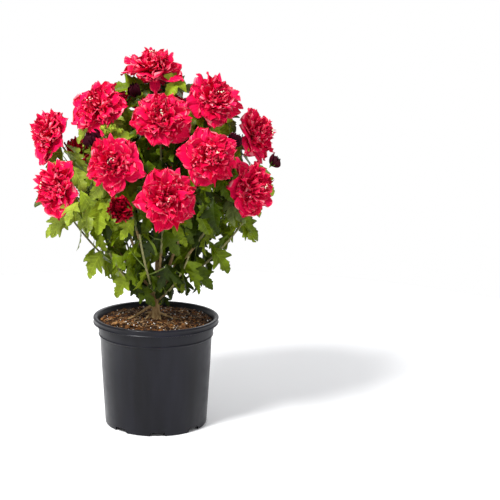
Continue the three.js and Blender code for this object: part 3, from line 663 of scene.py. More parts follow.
def flower_masses():
    """Each flowering mass with its blooms, its limb's line and the middles of its space."""
    masses = []
    for order, name in enumerate(dict.fromkeys(bloom[0] for bloom in BLOOMS)):
        blooms = [
            {"centre": cylindrical(*place), "face": direction(*face)}
            for mass, *place, face in BLOOMS
            if mass == name
        ]
        first = blooms[0]
        if name == "top":
            line = limb_line(TRUNK_TOP + UP * GAP, UP, first["centre"], first["face"])
        else:
            height = FIRST_FORK_HEIGHT + (order % 3) * FORK_SPACING
            heading = heading_to(first["centre"], trunk_point(height), BOUGH_LIFT)
            start = fork_point(height, heading, BOUGH_RADIUS)
            line = limb_line(start, heading, first["centre"], first["face"])
        sites = [bloom["centre"] for bloom in blooms]
        sites.append(line[int(LIMB_SITE * (LINE_POINTS - 1))])
        masses.append({"name": name, "blooms": blooms, "line": line, "sites": np.array(sites)})
    return masses


def skirt_masses():
    """The flowerless masses that hang low round the trunk, high and low ones by turns."""
    masses = []
    for index in range(SKIRTS):
        azimuth = SKIRT_FIRST_AZIMUTH + 360 / SKIRTS * index
        level = index % 2
        heading = direction(azimuth, SKIRT_RISE)
        start = fork_point(SKIRT_START[level], heading, SKIRT_STEM_RADIUS)
        end = cylindrical(azimuth, SKIRT_REACH[level], SKIRT_HEIGHT[level])
        line = bezier(start, start + heading * np.linalg.norm(end - start) * 0.5, end)
        sites = [end - UP * SKIRT_HANG, line[LINE_POINTS // 2] - UP * SKIRT_HANG / 2]
        name = f"skirt_{index + 1}"
        masses.append({"name": name, "blooms": [], "line": line, "sites": np.array(sites)})
    return masses


masses = flower_masses() + skirt_masses()


def room_at(mass, point):
    """How far a point lies inside the mass's own space, negative outside it."""
    own = mass["sites"][np.argmin(np.linalg.norm(mass["sites"] - point, axis=1))]
    others = np.concatenate([other["sites"] for other in masses if other is not mass])
    nearer = np.sum((others - point) ** 2, axis=1) - np.sum((own - point) ** 2)
    return np.min(nearer / (2 * np.linalg.norm(others - own, axis=1)))


def split_share(mass):
    """Where the bough ends and the mass's own stem goes on."""
    share, last = BOUGH_SHARES
    while share < last and room_at(mass, mass["line"][int(share * (LINE_POINTS - 1))]) < BOUGH_CLEARANCE:
        share += 0.02
    return share


for mass in masses:
    if mass["blooms"]:
        split = int(split_share(mass) * (LINE_POINTS - 1))
        mass["bough"] = mass["line"][: split + 1]
        stem = mass["line"][split:]
        fork = stem[int(SIDE_STEM_FORK * len(stem))]
        sides = [
            limb_line(fork, heading_to(bloom["centre"], fork, SIDE_STEM_LIFT), bloom["centre"], bloom["face"])
            for bloom in mass["blooms"][1:]
        ]
        mass["stems"] = [stem, *sides]
    else:
        mass["stems"] = [mass["line"]]

random = np.random.default_rng(23)


def distances(line):
    """How far each point of a line lies from its first, measured along it."""
    steps = np.linalg.norm(np.diff(line, axis=0), axis=1)
    return np.concatenate([[0], np.cumsum(steps)])


def knotty(line, first, last, spacing):
    """Radii that taper along a limb and swell a little where leaves once stood."""
    radii = np.linspace(first, last, len(line))
    swell = np.cos(distances(line) * 2 * math.pi / spacing) ** 8
    return radii * (1 + KNOT_SWELL * swell)


def root_line(azimuth, reach, rise, radius):
    start = trunk_point(SOIL_LEVEL + rise)
    out = cylindrical(azimuth, 1, 0)
    knee = start + out * reach * ROOT_KNEE[0]
    knee[2] = SOIL_LEVEL + rise * ROOT_KNEE[1]
    tip = TRUNK_FOOT + out * reach
    tip[2] = SOIL_LEVEL - radius * 0.4
    line = bezier(start, knee, tip)
    wander = np.sin(np.linspace(0, 7, LINE_POINTS) + azimuth) * np.sin(np.linspace(0, math.pi, LINE_POINTS))
    return line + np.cross(out, UP) * wander[:, None] * ROOT_WANDER


wood = []
levels = np.linspace(TRUNK_RADII[0][0], TRUNK_RADII[-1][0], 40)
trunk_line = [trunk_point(TRUNK_FOOT[2] + level) for level in levels]
trunk_radii = np.interp(levels, *np.array(TRUNK_RADII).T)
wood.append(tube(trunk_line, trunk_radii, 24))
for root in ROOTS:
    line = root_line(**root)
    wood.append(tube(line, np.linspace(root["radius"], root["radius"] * 0.5, len(line)), 10))
for mass in masses:
    line = mass["line"]
    into_trunk = trunk_point(line[0][2] - LIMB_OVERLAP)
    if mass["blooms"]:
        limb = np.concatenate([[into_trunk], mass["bough"]])
        radii = knotty(limb, BOUGH_RADIUS, BOUGH_TIP_RADIUS, BOUGH_KNOTS)
    else:
        limb = np.concatenate([[into_trunk], line[:SKIRT_STUB]])
        radii = knotty(limb, SKIRT_STEM_RADIUS, SKIRT_STEM_RADIUS * 0.93, BOUGH_KNOTS)
    wood.append(tube(limb, radii, 12))
limbs = solid_piece("trunk_and_boughs", wood)
apply_modifier(limbs, "REMESH", mode="VOXEL", voxel_size=WOOD_VOXEL * MM, use_smooth_shade=True)
apply_modifier(limbs, "SMOOTH", factor=0.5, iterations=3)
furrows = bpy.data.textures.new("furrows", "CLOUDS")
furrows.noise_scale = FURROW_SIZE * MM
furrows.noise_depth = 2
apply_modifier(
    limbs, "DISPLACE", texture=furrows, texture_coords="LOCAL", strength=FURROW_DEPTH * MM, mid_level=0.5
)
bark = mottled("tan_bark", (0.19, 0.11, 0.042), (0.48, 0.33, 0.15), 210, 0.8, 0.5, (1, 1, 0.25))
limbs.data.materials.append(bark)
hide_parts("trunk", *[f"bough_{mass['name']}" for mass in masses if mass["blooms"]])
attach(limbs, "root")


# Stems, twigs and leaf stalks. Each mass's stem goes on from its bough, woody at first and green
# towards the blooms, with side twigs at the golden angle. Each leaf stands on a thin stalk.
GOLDEN_ANGLE = math.radians(137.508)
TWIG_LENGTH = 72
TWIG_SIZES = (0.7, 1)
TWIG_TRIES = (1, 0.75, 0.5, 0.3)
TWIG_SPACING = 21
TWIG_ANGLE = math.radians(54)
TWIG_RADIUS = 1.25
TWIG_TIP_RADIUS = 0.75
FIRST_TWIG = 8
STEM_KNOTS = 27
SIDE_STEM_RADIUS = 1.9
BEARING_STEM_END = 0.86
SKIRT_STEM_END = 0.97
LEAF_SPACING = 17
LEAF_LENGTH = 62
LEAF_SPREAD = 0.42
LEAF_TRIES = (1, 0.8, 0.62)
LEAF_TURNS = 4
END_LEAF_SIZES = (0.85, 1)
FIRST_STEM_LEAF = 12
FIRST_TWIG_LEAF = 0.8 * LEAF_SPACING
BEARING_TWIG_END = 0.9
DROOP_SPREAD = 0.26
STALK_LENGTH = 9
STALK_RADII = (0.75, 0.6, 0.55, 0.5)
STALK_LIFT = 1.2
STALK_IN_BLADE = 0.04
LOW_DROOP = 54
TOP_DROOP = 30
LEAF_CLEARANCE = 23
BARE_STEM = (0.42, 0.9)
BARE_SPACE = 26
REACH_MIDDLE = 400
REACH_RADIUS = 218
REACH_TOP = 662
REACH_FOOT = 206
REACH_TAPER = 1.38
SPACE_OVERLAP = 14
SHY_DEPTH = 42
SHY_REACH = (0.5, 0.78)
BOLD_LEAVES = 0.1
TWIG_REACH = 0.8
BLOOM_MARGIN = 1.1
BLOOM_CORE = 0.84
BLOOM_SIDE = -20
BEFORE_FACE = -8
BEFORE_FRONT = (20, 0.92)
BUD_SPACE = 12
COLLAR = 0.9
COLLAR_TURNS = (0, 2.1, 4.2)
CROWN_LEAVES = [(190, 6, 72), (354, 1, 72), (112, 8, 58), (62, 6, 60)]
CROWN_LEAF_PLACE = 0.87
OUTER_LEAVES = [
    (-150, -20, 389, 184, -30, 62),
    (-94, -28, 327, 192, -52, 58),
    (-48, -36, 289, 205, -58, 52),
    (143, -20, 388, -4, -34, 60),
    (98, -26, 335, -14, -52, 60),
    (64, -34, 302, -22, -46, 58),
]
FRONT_LEAN = np.array([0, -1.5, 0])
BLOOM_VIEW = 90
PETAL_DEPTH = 18
PETAL_REACH = 0.9
LEAF_FOOT_SHARE = 0.2
FRONT_WAY = (0, -1, 0.19)
FRONT_FACING = 0.4
BUDS = [
    (-132, 54, 611, 10),
    (-140, 141, 531, 11),
    (-110, 176, 425, 20),
    (-27, 150, 528, 10),
    (-2, 209, 483, 8),
    (66, 150, 530, 10),
    (156, 158, 502, 19),
]
GREEN_BUDS = [
    (-124, 130, 551, 5.5),
    (-129, 131, 545, 5),
    (-119, 126, 547, 4.5),
    (-134, 128, 551, 4.5),
]
BUD_FORK = 0.35
BUD_LIFT = 0.35
BUD_BACK = 0.9
BUD_STALK_BEND = 0.3
BUD_FULL_RADIUS = 20
BUD_STALK_RADIUS = 1.4
YOUNG_BUDS = 22
YOUNG_BUD_HEIGHT = 480
YOUNG_BUD_TOP = 620
YOUNG_BUD_SPACE = 18
YOUNG_BUD_LIFT = 0.8
YOUNG_BUD_STALK = 7
YOUNG_BUD_SCALE = (0.2, 0.32)
YOUNG_BUD_RADII = (0.8, 0.8, 1)

buds = []
for azimuth, reach, height, radius in BUDS + GREEN_BUDS:
    centre = cylindrical(azimuth, reach, height)
    host = max(masses, key=lambda mass: room_at(mass, centre))
    stem = host["stems"][0]
    fork = stem[int(BUD_FORK * len(stem))]
    face = heading_to(centre, fork, BUD_LIFT)
    foot = centre - face * radius * BUD_BACK
    bend = np.linalg.norm(foot - fork) * BUD_STALK_BEND
    stalk = bezier(fork, fork + unit(foot - fork) * bend, foot - face * bend, foot)
    bud = {"centre": centre, "foot": foot, "face": face, "stalk": stalk[::6]}
    buds.append({**bud, "radius": radius, "scale": radius / BUD_FULL_RADIUS})

all_blooms = [bloom for mass in masses for bloom in mass["blooms"]]
bloom_centres = np.array([bloom["centre"] for bloom in all_blooms])
bloom_faces = np.array([bloom["face"] for bloom in all_blooms])
front_way = np.where(bloom_faces[:, 1:2] < FRONT_FACING, unit(np.array(FRONT_WAY)), bloom_faces)


def reach_share(point, boldness=1):
    """How near a point lies to the skin, at 1, of the egg that the leaves keep to: full above,
    tapering below, where only a few bold leaves hang out so far."""
    out = math.hypot(point[0], point[1]) / REACH_RADIUS
    rise = point[2] - REACH_MIDDLE
    if rise > 0:
        return out**2 + (rise / (REACH_TOP - REACH_MIDDLE)) ** 2
    out /= 1 - (1 - boldness) * min(-rise / SHY_DEPTH, 1)
    return out**REACH_TAPER + (-rise / (REACH_MIDDLE - REACH_FOOT)) ** REACH_TAPER


def from_blooms(point, ways):
    """How far a point lies before each bloom, looking along one way for each, and how far aside."""
    arms = point - bloom_centres
    depth = np.sum(arms * ways, axis=1)
    return depth, np.linalg.norm(arms - depth[:, None] * ways, axis=1)


def before_blooms(point, ways, nearest, clearance):
    """Whether a point lies in the space before a bloom, from the nearest depth on."""
    depth, aside = from_blooms(point, ways)
    return np.any((depth > nearest) & (depth < BLOOM_VIEW) & (aside < clearance))


def off_blooms(point):
    """Outside every bloom, before no bloom's face and before none on the side that the photo shows."""
    arms = point - bloom_centres
    depth = np.sum(arms * bloom_faces, axis=1)
    margin = np.where(depth > BLOOM_SIDE, BLOOM_MARGIN, BLOOM_CORE)
    inside = np.linalg.norm(arms, axis=1) < BLOOM_RADIUS * margin
    nearest, share = BEFORE_FRONT
    before = before_blooms(point, bloom_faces, BEFORE_FACE, BLOOM_RADIUS)
    before |= before_blooms(point, front_way, nearest, BLOOM_RADIUS * share)
    clear = all(np.linalg.norm(point - bud["centre"]) > bud["radius"] + BUD_SPACE for bud in buds)
    return clear and not before and not np.any(inside)


def pierces_bloom(leaf):
    """Whether the part of a leaf next to its stalk would stand among a bloom's petals."""
    point = leaf["foot"] + leaf["heading"] * leaf["size"] * LEAF_FOOT_SHARE
    depth, aside = from_blooms(point, bloom_faces)
    return np.any((abs(depth) < PETAL_DEPTH) & (aside < BLOOM_RADIUS * PETAL_REACH))


first, last = (int(share * (LINE_POINTS - 1)) for share in BARE_STEM)
bare_stems = np.concatenate([mass["line"][first:last] for mass in masses if mass["blooms"]])


def off_stems(point):
    """Outside the space in front of a flower stem's lower, leafless length."""
    arms = point - bare_stems
    outward = bare_stems * [1, 1, 0]
    near = np.linalg.norm(arms, axis=1) < BARE_SPACE
    return not np.any(near & (np.sum(arms * outward, axis=1) > 0))


def sideways(along, turn):
    """Unit vector square to a limb, turned round it by an angle."""
    first = unit(SLANT - along * SLANT.dot(along))
    return first * math.cos(turn) + np.cross(along, first) * math.sin(turn)


def leaf_heading(outward, along, height):
    """The way that a leaf points: steeply down low in the shrub, less so towards its top."""
    level = unit((outward + along * 0.5) * [1, 1, 0])
    share = (height - SKIRT_HEIGHT[1]) / (REACH_TOP - SKIRT_HEIGHT[1])
    droop = math.radians(LOW_DROOP + (TOP_DROOP - LOW_DROOP) * share) + random.normal(0, DROOP_SPREAD)
    return level * math.cos(droop) - UP * math.sin(droop)


def place_on(line, distance):
    """Point and heading at a distance along a line."""
    travelled = distances(line)
    index = min(int(np.searchsorted(travelled, distance, side="right")), len(line) - 1) - 1
    step = line[index + 1] - line[index]
    share = (distance - travelled[index]) / np.linalg.norm(step)
    return line[index] + step * share, unit(step)


def stations(line, start, share, spacing):
    """Places at even steps along a shoot up to a share of its length, each with the shoot's way
    there and a turn round it that goes on by the golden angle."""
    first = random.uniform(0, 2 * math.pi)
    end = share * distances(line)[-1]
    place = start
    while place < end:
        yield (*place_on(line, place), first + place / spacing * GOLDEN_ANGLE)
        place += spacing


twigs = [tube(bud["stalk"], [BUD_STALK_RADIUS] * len(bud["stalk"]), 6) for bud in buds]
twig_ends = []
twig_lines = []
leaves = []


def leaf_on(mass, base, foot, heading, size, **lean):
    """A leaf of this mass, its stalk from base to foot and its blade from there on."""
    middle = foot + heading * size * 0.5
    leaf = {"base": base, "foot": foot, "heading": heading, "size": size, "middle": middle}
    return {"mass": mass["name"], **leaf, **lean}


def leaf_fits(mass, leaf, boldness):
    """Whether a leaf keeps off the other leaves, the blooms, the bare stems and other masses."""
    tip = leaf["foot"] + leaf["heading"] * leaf["size"]
    middle = leaf["middle"]
    if leaves:
        others = np.array([other["middle"] for other in leaves])
        nearest = np.min(np.linalg.norm(others - middle, axis=1))
        if nearest < LEAF_CLEARANCE * leaf["size"] / LEAF_LENGTH:
            return False
    for point in (tip, middle):
        if reach_share(point, boldness) >= 1 or not off_blooms(point) or not off_stems(point):
            return False
    return room_at(mass, tip) >= -SPACE_OVERLAP and room_at(mass, middle) >= -SPACE_OVERLAP / 2


def grow_leaf(mass, base, along, turn, length):
    """Adds the first leaf that fits, full size before small, turned round the shoot if need be, and
    tells whether there was one."""
    boldness = 1 if random.random() < BOLD_LEAVES else random.uniform(*SHY_REACH)
    for size in (length * scale for scale in LEAF_TRIES):
        for extra in range(LEAF_TURNS):
            outward = sideways(along, turn + extra * GOLDEN_ANGLE)
            heading = leaf_heading(outward, along, base[2])
            foot = base + unit(outward + along * 0.6 - UP * 0.1) * STALK_LENGTH * size / LEAF_LENGTH
            leaf = leaf_on(mass, base, foot, heading, size)
            if leaf_fits(mass, leaf, boldness):
                leaves.append(leaf)
                return True
    return False


def grow_leaves(mass, line, start, share):
    for base, along, turn in stations(line, start, share, LEAF_SPACING):
        size = LEAF_LENGTH * (1 - LEAF_SPREAD * random.random() ** 1.5)
        grow_leaf(mass, base, along, turn, size)


def twig_line(base, heading, length):
    """A twig that bends up a little towards its tip."""
    end = base + heading * length
    return bezier(base, base + heading * length * 0.5 - UP * length * 0.05, end)[::6]


def grow_twig(mass, base, heading, length):
    """Adds the longest twig that fits, with a leaf at its end and others along it."""
    for scale in TWIG_TRIES:
        end = base + heading * length * scale
        outside = reach_share(end, TWIG_REACH) > 1 or room_at(mass, end) < -SPACE_OVERLAP / 2
        if outside or not off_blooms(end):
            continue
        twig = twig_line(base, heading, length * scale)
        if grow_leaf(mass, twig[-1], heading, 0, LEAF_LENGTH * random.uniform(*END_LEAF_SIZES)):
            twigs.append(tube(twig, np.linspace(TWIG_RADIUS, TWIG_TIP_RADIUS, len(twig)), 5))
            twig_ends.append((twig[-1], heading))
            twig_lines.append(twig)
            grow_leaves(mass, twig, FIRST_TWIG_LEAF, BEARING_TWIG_END)
            return


for mass in masses:
    for line in mass["stems"]:
        share = BEARING_STEM_END if mass["blooms"] else SKIRT_STEM_END
        for base, along, turn in stations(line, FIRST_TWIG, share, TWIG_SPACING):
            outward = sideways(along, turn)
            heading = unit(along * math.cos(TWIG_ANGLE) + outward * math.sin(TWIG_ANGLE))
            grow_twig(mass, base, heading, TWIG_LENGTH * random.uniform(*TWIG_SIZES))
        grow_leaves(mass, line, FIRST_STEM_LEAF, share)
        if mass["blooms"]:
            base, along = place_on(line, COLLAR * distances(line)[-1])
            for turn in COLLAR_TURNS:
                grow_leaf(mass, base, along, turn, LEAF_LENGTH)
        else:
            grow_leaf(mass, line[-1], unit(line[-1] - line[-2]), 0, LEAF_LENGTH)
leaves = [leaf for leaf in leaves if not pierces_bloom(leaf)]
crown_stem = masses[0]["stems"][0]
base, _ = place_on(crown_stem, CROWN_LEAF_PLACE * distances(crown_stem)[-1])
for azimuth, elevation, size in CROWN_LEAVES:
    heading = direction(azimuth, elevation)
    foot = base + heading * STALK_LENGTH
    leaves.append(leaf_on(masses[0], base, foot, heading, size, lean=FRONT_LEAN))
limb_points = np.concatenate([line for mass in masses for line in mass["stems"]] + twig_lines)
for x, y, z, azimuth, elevation, size in OUTER_LEAVES:
    foot = np.array([x, y, z])
    base = limb_points[np.argmin(np.linalg.norm(limb_points - foot, axis=1))]
    host = max(masses, key=lambda mass: room_at(mass, foot))
    leaves.append(leaf_on(host, base, foot, direction(azimuth, elevation), size, lean=FRONT_LEAN))
high_ends = [
    (end, heading) for end, heading in twig_ends
    if end[2] > YOUNG_BUD_HEIGHT and off_blooms(end + unit(heading + UP) * YOUNG_BUD_SPACE)
]
young_buds = []
for pick in random.choice(len(high_ends), YOUNG_BUDS, replace=False):
    end, heading = high_ends[pick]
    face = unit(heading + UP * YOUNG_BUD_LIFT)
    foot = end + face * YOUNG_BUD_STALK
    scale = random.uniform(*YOUNG_BUD_SCALE)
    if end[2] > YOUNG_BUD_TOP:
        continue
    young_buds.append({"foot": foot, "face": face, "scale": scale})
    twigs.append(tube([end - heading * 2, end + face * 3, foot], YOUNG_BUD_RADII, 5))

stems = []
for mass in masses:
    for order, line in enumerate(mass["stems"]):
        if not mass["blooms"]:
            first = SKIRT_STEM_RADIUS
        elif order:
            first = SIDE_STEM_RADIUS
        else:
            first = BOUGH_TIP_RADIUS
        stems.append(tube(line, knotty(line, first, STEM_TIP_RADIUS, STEM_KNOTS), 9))
stem_piece = solid_piece("stems", stems)
stem_piece.data.materials.append(
    mottled("stem_skin", (0.13, 0.13, 0.05), (0.3, 0.27, 0.12), 180, 0.65, 0.3, (1, 1, 0.3))
)
stalks = []
for leaf in leaves:
    knee = (leaf["base"] + leaf["foot"]) / 2 + UP * STALK_LIFT
    sunk = leaf["foot"] + leaf["heading"] * leaf["size"] * STALK_IN_BLADE
    stalks.append(tube(bezier(leaf["base"], knee, sunk)[::19], STALK_RADII, 5))
twig_piece = solid_piece("twigs_and_stalks", twigs + stalks)
twig_piece.data.materials.append(mottled("green_twig", (0.1, 0.15, 0.025), (0.2, 0.26, 0.05), 160, 0.6, 0.2))
for piece in (stem_piece, twig_piece):
    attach(piece, "root")


# Leaves. Three-lobed and coarsely toothed, folded up along the midrib, arched down at the tip and thin. Their
# greens are dealt by place as painted light and painted shade: yellow-green at the skin of the crown, near
# the top and at the left and right, deeper inside it. Each is a sheet whose rows follow the side veins
# forward from the midrib, so that the teeth and the lobes point to the tip.
LEAF_OUTLINE = [
    (0, 0.012),
    (0.04, 0.06),
    (0.1, 0.17),
    (0.15, 0.18),
    (0.21, 0.29),
    (0.26, 0.285),
    (0.32, 0.385),
    (0.365, 0.415),
    (0.405, 0.375),
    (0.45, 0.25),
    (0.49, 0.14),
    (0.55, 0.15),
    (0.615, 0.215),
    (0.66, 0.175),
    (0.73, 0.175),
    (0.78, 0.12),
    (0.85, 0.115),
    (0.92, 0.075),
    (0.97, 0.04),
    (1, 0.01),
]
LEAF_COLUMNS = 7
VEIN_SLOPE = 0.62
LEAF_SHAPES = 12
LOBE_PLACE = 0.36
LOBE_SPAN = 0.1
LOBE_SIZES = (0.82, 1.08)
LEAF_WIDTHS = (0.9, 1.02)
LEAF_FOLD = (0.2, 0.75)
LEAF_ARCH = (0.1, 0.5)
LEAF_CURL = (0.3, 1.2)
LEAF_SWEEP = 0.08
EDGE_WAVE = (0.014, 0.034)
EDGE_WAVES = 21
LEAF_LEAN = 0.6
LEAF_ROUGHNESS = 0.36
SIDE_VEINS = 8
SIDE_VEIN_WIDTH = 0.09
MIDRIB_WIDTH = 0.035
LEAF_GREENS = [
    ("leaf_shade_green", (0.021, 0.036, 0.001), 0.28),
    ("leaf_deep_green", (0.056, 0.088, 0.001), 0.46),
    ("leaf_green", (0.115, 0.167, 0.002), 0.64),
    ("leaf_bright_green", (0.185, 0.245, 0.012), 0.92),
    ("leaf_palest_green", (0.22, 0.28, 0.028), 2),
    ("leaf_grey_green", (0.155, 0.195, 0.055), 2),
]
GREY_SHARE = 0.05
GREY_HEIGHT = 400
# The palest green is dealt by the same painted light, and only above this height.
PALEST_HEIGHT = 345
PALEST_SLOT = 4
# How much paler a leaf's green is dealt: at the skin of the crown, at the left and right and towards the top
# it is painted light, deeper inside it is painted shade; the uneven spread is at random.
INNER_PALENESS = 0.14
SKIN_PAINTED_LIGHT = 0.26
SIDE_PAINTED_LIGHT = 0.9
LEFT_PAINTED_LIGHT = 1 / 440
HEIGHT_PAINTED_LIGHT = 1 / 1600
UNEVEN_PALENESS = 0.2


def leaf_sheet():
    """One blade of unit length: x across, y forward, z up, as rows of points."""
    along, half = np.array(LEAF_OUTLINE).T
    lobe = random.uniform(*LOBE_SIZES)
    half = half * np.where(np.abs(along - LOBE_PLACE) < LOBE_SPAN, lobe, 1) * random.uniform(*LEAF_WIDTHS)
    across = np.linspace(-1, 1, LEAF_COLUMNS)
    x = half[:, None] * across[None]
    y = along[:, None] + np.abs(x) * VEIN_SLOPE
    y = y / y.max()
    fold = random.uniform(*LEAF_FOLD)
    arch = random.uniform(*LEAF_ARCH)
    wave = random.uniform(*EDGE_WAVE)
    phase = random.uniform(0, 6)
    z = np.abs(x) * fold - arch * y**2 - np.abs(x) ** 2 * random.uniform(*LEAF_CURL)
    z = z + wave * np.sin(along[:, None] * EDGE_WAVES + np.sign(x) * phase) * np.abs(across)[None] ** 2
    x = x + random.uniform(-LEAF_SWEEP, LEAF_SWEEP) * y**2
    return np.stack([x, y, z], axis=2)


def grid_faces(rows, columns, count):
    """Faces of a number of like sheets of points, one after another."""
    row, column = np.meshgrid(np.arange(rows - 1), np.arange(columns - 1), indexing="ij")
    corner = (row * columns + column).ravel()
    faces = np.stack([corner, corner + 1, corner + columns + 1, corner + columns], axis=1)
    starts = np.arange(count)[:, None, None] * rows * columns
    return (faces[None] + starts).reshape(-1, 4)


leaf_shapes = [leaf_sheet() for _ in range(LEAF_SHAPES)]
leaf_rows = len(LEAF_OUTLINE)
across, along = np.meshgrid(np.linspace(0, 1, LEAF_COLUMNS), np.array(LEAF_OUTLINE)[:, 0])
leaf_uv = np.stack([across, along], axis=2).reshape(-1, 2)


def arithmetic(tree, operation, first, second, third=None):
    """The result of one sum with the values of other nodes or with numbers."""
    node = tree.nodes.new("ShaderNodeMath")
    node.operation = operation
    for socket, value in zip(node.inputs, (first, second, third)):
        if isinstance(value, (int, float)):
            socket.default_value = value
        elif value is not None:
            tree.links.new(value, socket)
    return node.outputs[0]


def sheet_place(tree):
    """The place on a sheet's UV map, then its part across the sheet and its part along it."""
    place = tree.nodes.new("ShaderNodeUVMap")
    place.uv_map = "surface"
    parts = tree.nodes.new("ShaderNodeSeparateXYZ")
    tree.links.new(place.outputs["UV"], parts.inputs["Vector"])
    return place.outputs["UV"], parts.outputs["X"], parts.outputs["Y"]


def leaf_material(name, colour):
    """A leaf's skin: lighter midrib and side veins from the UV map, over an uneven green."""
    material, tree, surface = shader(name, colour, LEAF_ROUGHNESS, Specular_IOR_Level=0.12)
    _, across, along = sheet_place(tree)

    def lines(value, repeat, shift, width):
        """1 in the middle of each line of a stripe pattern, down to 0 at its edges."""
        wave = arithmetic(tree, "PINGPONG", arithmetic(tree, "MULTIPLY_ADD", value, repeat, shift), 0.5)
        return scaled_range(tree, wave, 1, 0, 0, width)

    midrib = lines(across, 1, 0.5, MIDRIB_WIDTH)
    side_veins = lines(along, SIDE_VEINS, 0, SIDE_VEIN_WIDTH)
    veins = arithmetic(tree, "MAXIMUM", midrib, side_veins)
    greens = [(0.32, tinted(colour, 0.6)), (0.68, tinted(colour, 1.35))]
    blend = tree.nodes.new("ShaderNodeMix")
    blend.data_type = "RGBA"
    tree.links.new(arithmetic(tree, "MULTIPLY", veins, 0.7), blend.inputs["Factor"])
    tree.links.new(ramp(tree, noise(tree, 55, 3), greens), blend.inputs[6])
    blend.inputs[7].default_value = (*tinted(colour, 1.6, 0.008), 1)
    tree.links.new(blend.outputs[2], surface.inputs["Base Color"])
    add_bump(tree, surface, veins, 0.5, -0.5)
    return material


leaf_materials = [leaf_material(name, colour) for name, colour, _ in LEAF_GREENS]
green_limits = [limit for _, _, limit in LEAF_GREENS[:-1]]


def leaf_tone(place):
    """The slot of a leaf's green: paler at the skin, near the top and at the left and right, which is painted
    light, and deeper inside the crown, which is painted shade, with some spread at random.
    """
    if random.random() < GREY_SHARE and place[2] > GREY_HEIGHT:
        return len(LEAF_GREENS) - 1
    skin = min(reach_share(place), 1)
    side = SIDE_PAINTED_LIGHT * abs(place[0]) / REACH_RADIUS - place[0] * LEFT_PAINTED_LIGHT
    height = (place[2] - REACH_MIDDLE) * HEIGHT_PAINTED_LIGHT
    paleness_and_painted_light = INNER_PALENESS + SKIN_PAINTED_LIGHT * skin + side + height + random.normal(0, UNEVEN_PALENESS)
    palest = PALEST_SLOT if place[2] > PALEST_HEIGHT else PALEST_SLOT - 1
    return min(int(np.searchsorted(green_limits, paleness_and_painted_light)), palest)


for mass in masses:
    own = [leaf for leaf in leaves if leaf["mass"] == mass["name"]]
    sheets = []
    tones = []
    for leaf in own:
        heading = leaf["heading"]
        lean = leaf.get("lean", sideways(heading, random.uniform(0, 6)))
        level = unit(UP - heading * heading.dot(UP) + lean * LEAF_LEAN)
        level = unit(level - heading * heading.dot(level))
        turned = np.stack([np.cross(heading, level), heading, level])
        shape = leaf_shapes[random.integers(LEAF_SHAPES)]
        sheets.append(leaf["foot"] + (shape * leaf["size"]) @ turned)
        tones.append(leaf_tone(leaf["middle"]))
    points = np.array(sheets).reshape(-1, 3)
    faces = grid_faces(leaf_rows, LEAF_COLUMNS, len(own))
    slots = np.repeat(tones, (leaf_rows - 1) * (LEAF_COLUMNS - 1))
    piece = mesh_piece(f"leaves_{mass['name']}", points, faces, slots, np.tile(leaf_uv, (len(own), 1)))
    for material in leaf_materials:
        piece.data.materials.append(material)
    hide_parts(f"mass_{mass['name']}")
    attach(piece, "root")


# Blooms. Large double flowers: a ring of broad ruffled guard petals round a pompom of narrow,
# crumpled petals that stand up and curl, with a few cream stamens in the middle and a green cup
# behind. Each petal is a sheet grown outwards from the cup along its own bent line.

# Shares of a petal's length tell where it swells to its full width and where its rim closes
GUARD = {
    "rows": 13, "columns": 21,
    "foot": 0.1, "shoulder": 0.78, "swell": 1.1,
    "rim": 0.66, "rim_length": 0.345, "rim_power": 2.4, "rim_width": 0.02,
    "lengths": (0.9, 1.09), "cup": (-0.1, 0.35), "loose": 0.7, "crumple": 0.06, "ripples": 1,
}
POMPOM = {
    "rows": 12, "columns": 9,
    "foot": 0.3, "shoulder": 0.62, "swell": 1,
    "rim": 0.7, "rim_length": 0.32, "rim_power": 2.2, "rim_width": 0.12,
    "lengths": (0.8, 1.1), "cup": (-1, 1.3), "loose": 1.4, "crumple": 0.088, "ripples": 0.4,
}


def petal_ring(kind, count, length, half, rise, bend, tones):
    """A whorl of like petals: their number, length and half width, the degrees that they rise at
    their foot and bend inwards up to their tip, and the share of each look among them."""
    size = {"count": count, "length": length, "half": half, "rise": rise, "bend": bend}
    return {"kind": kind, **size, "tones": tones}


# Outer whorls take mostly the coral tone and inner whorls more of the deep red: painted light outside and
# painted shade deep in the bloom.
WHORLS = [
    petal_ring(GUARD, 5, 53, 25, 16, -32, [0.75, 0.25, 0]),
    petal_ring(GUARD, 5, 47, 17, 26, -34, [0.6, 0.4, 0]),
    petal_ring(POMPOM, 13, 49, 12.5, 26, -20, [0.5, 0.4, 0.1]),
    petal_ring(POMPOM, 14, 47, 12, 38, -14, [0.45, 0.4, 0.15]),
    petal_ring(POMPOM, 14, 44, 11, 52, -4, [0.4, 0.4, 0.2]),
    petal_ring(POMPOM, 12, 41, 9.6, 66, 4, [0.35, 0.4, 0.25]),
    petal_ring(POMPOM, 8, 39, 7.8, 80, 4, [0.3, 0.4, 0.3]),
]
PETAL_WIDTHS = (0.8, 1.2)
TURN_SPREAD = 0.12
RISE_SPREAD = 8
BEND_SPREAD = 16
TWIST = 0.5
LEAST_BEND = 0.05
PETAL_FOOT_RADIUS = 1.5
BARE_HOURS = [9, 4, 6, 3, 9, 8, 12, 11, 8, 9, 8, 4, 7, 3, 10, 8, 2]
BARE_SHARE = 0.3
FULL_BLOOMS = {0, 5, 6, 14}
SIDE_BLOOMS = {1, 2, 9, 10}
SIDE_TURN = 0.18
HANGING_PETAL = petal_ring(GUARD, 1, 52, 11, -6, -70, [1, 0, 0])
HANGING_EASE = 0.4
SEPALS = petal_ring(POMPOM, 5, 20, 6, 4, 12, [1])
STAMENS = 5
STAMEN_HEIGHT = 42
STAMEN_SPREAD = (2.6, 2.6, 1.6)
ANTHER_RADIUS = (0.8, 1.4)
CUP_STEPS = (-12, -7, -3, 0, 3)
CUP_RADII = (1.5, 2.6, 5, 5.6, 3)


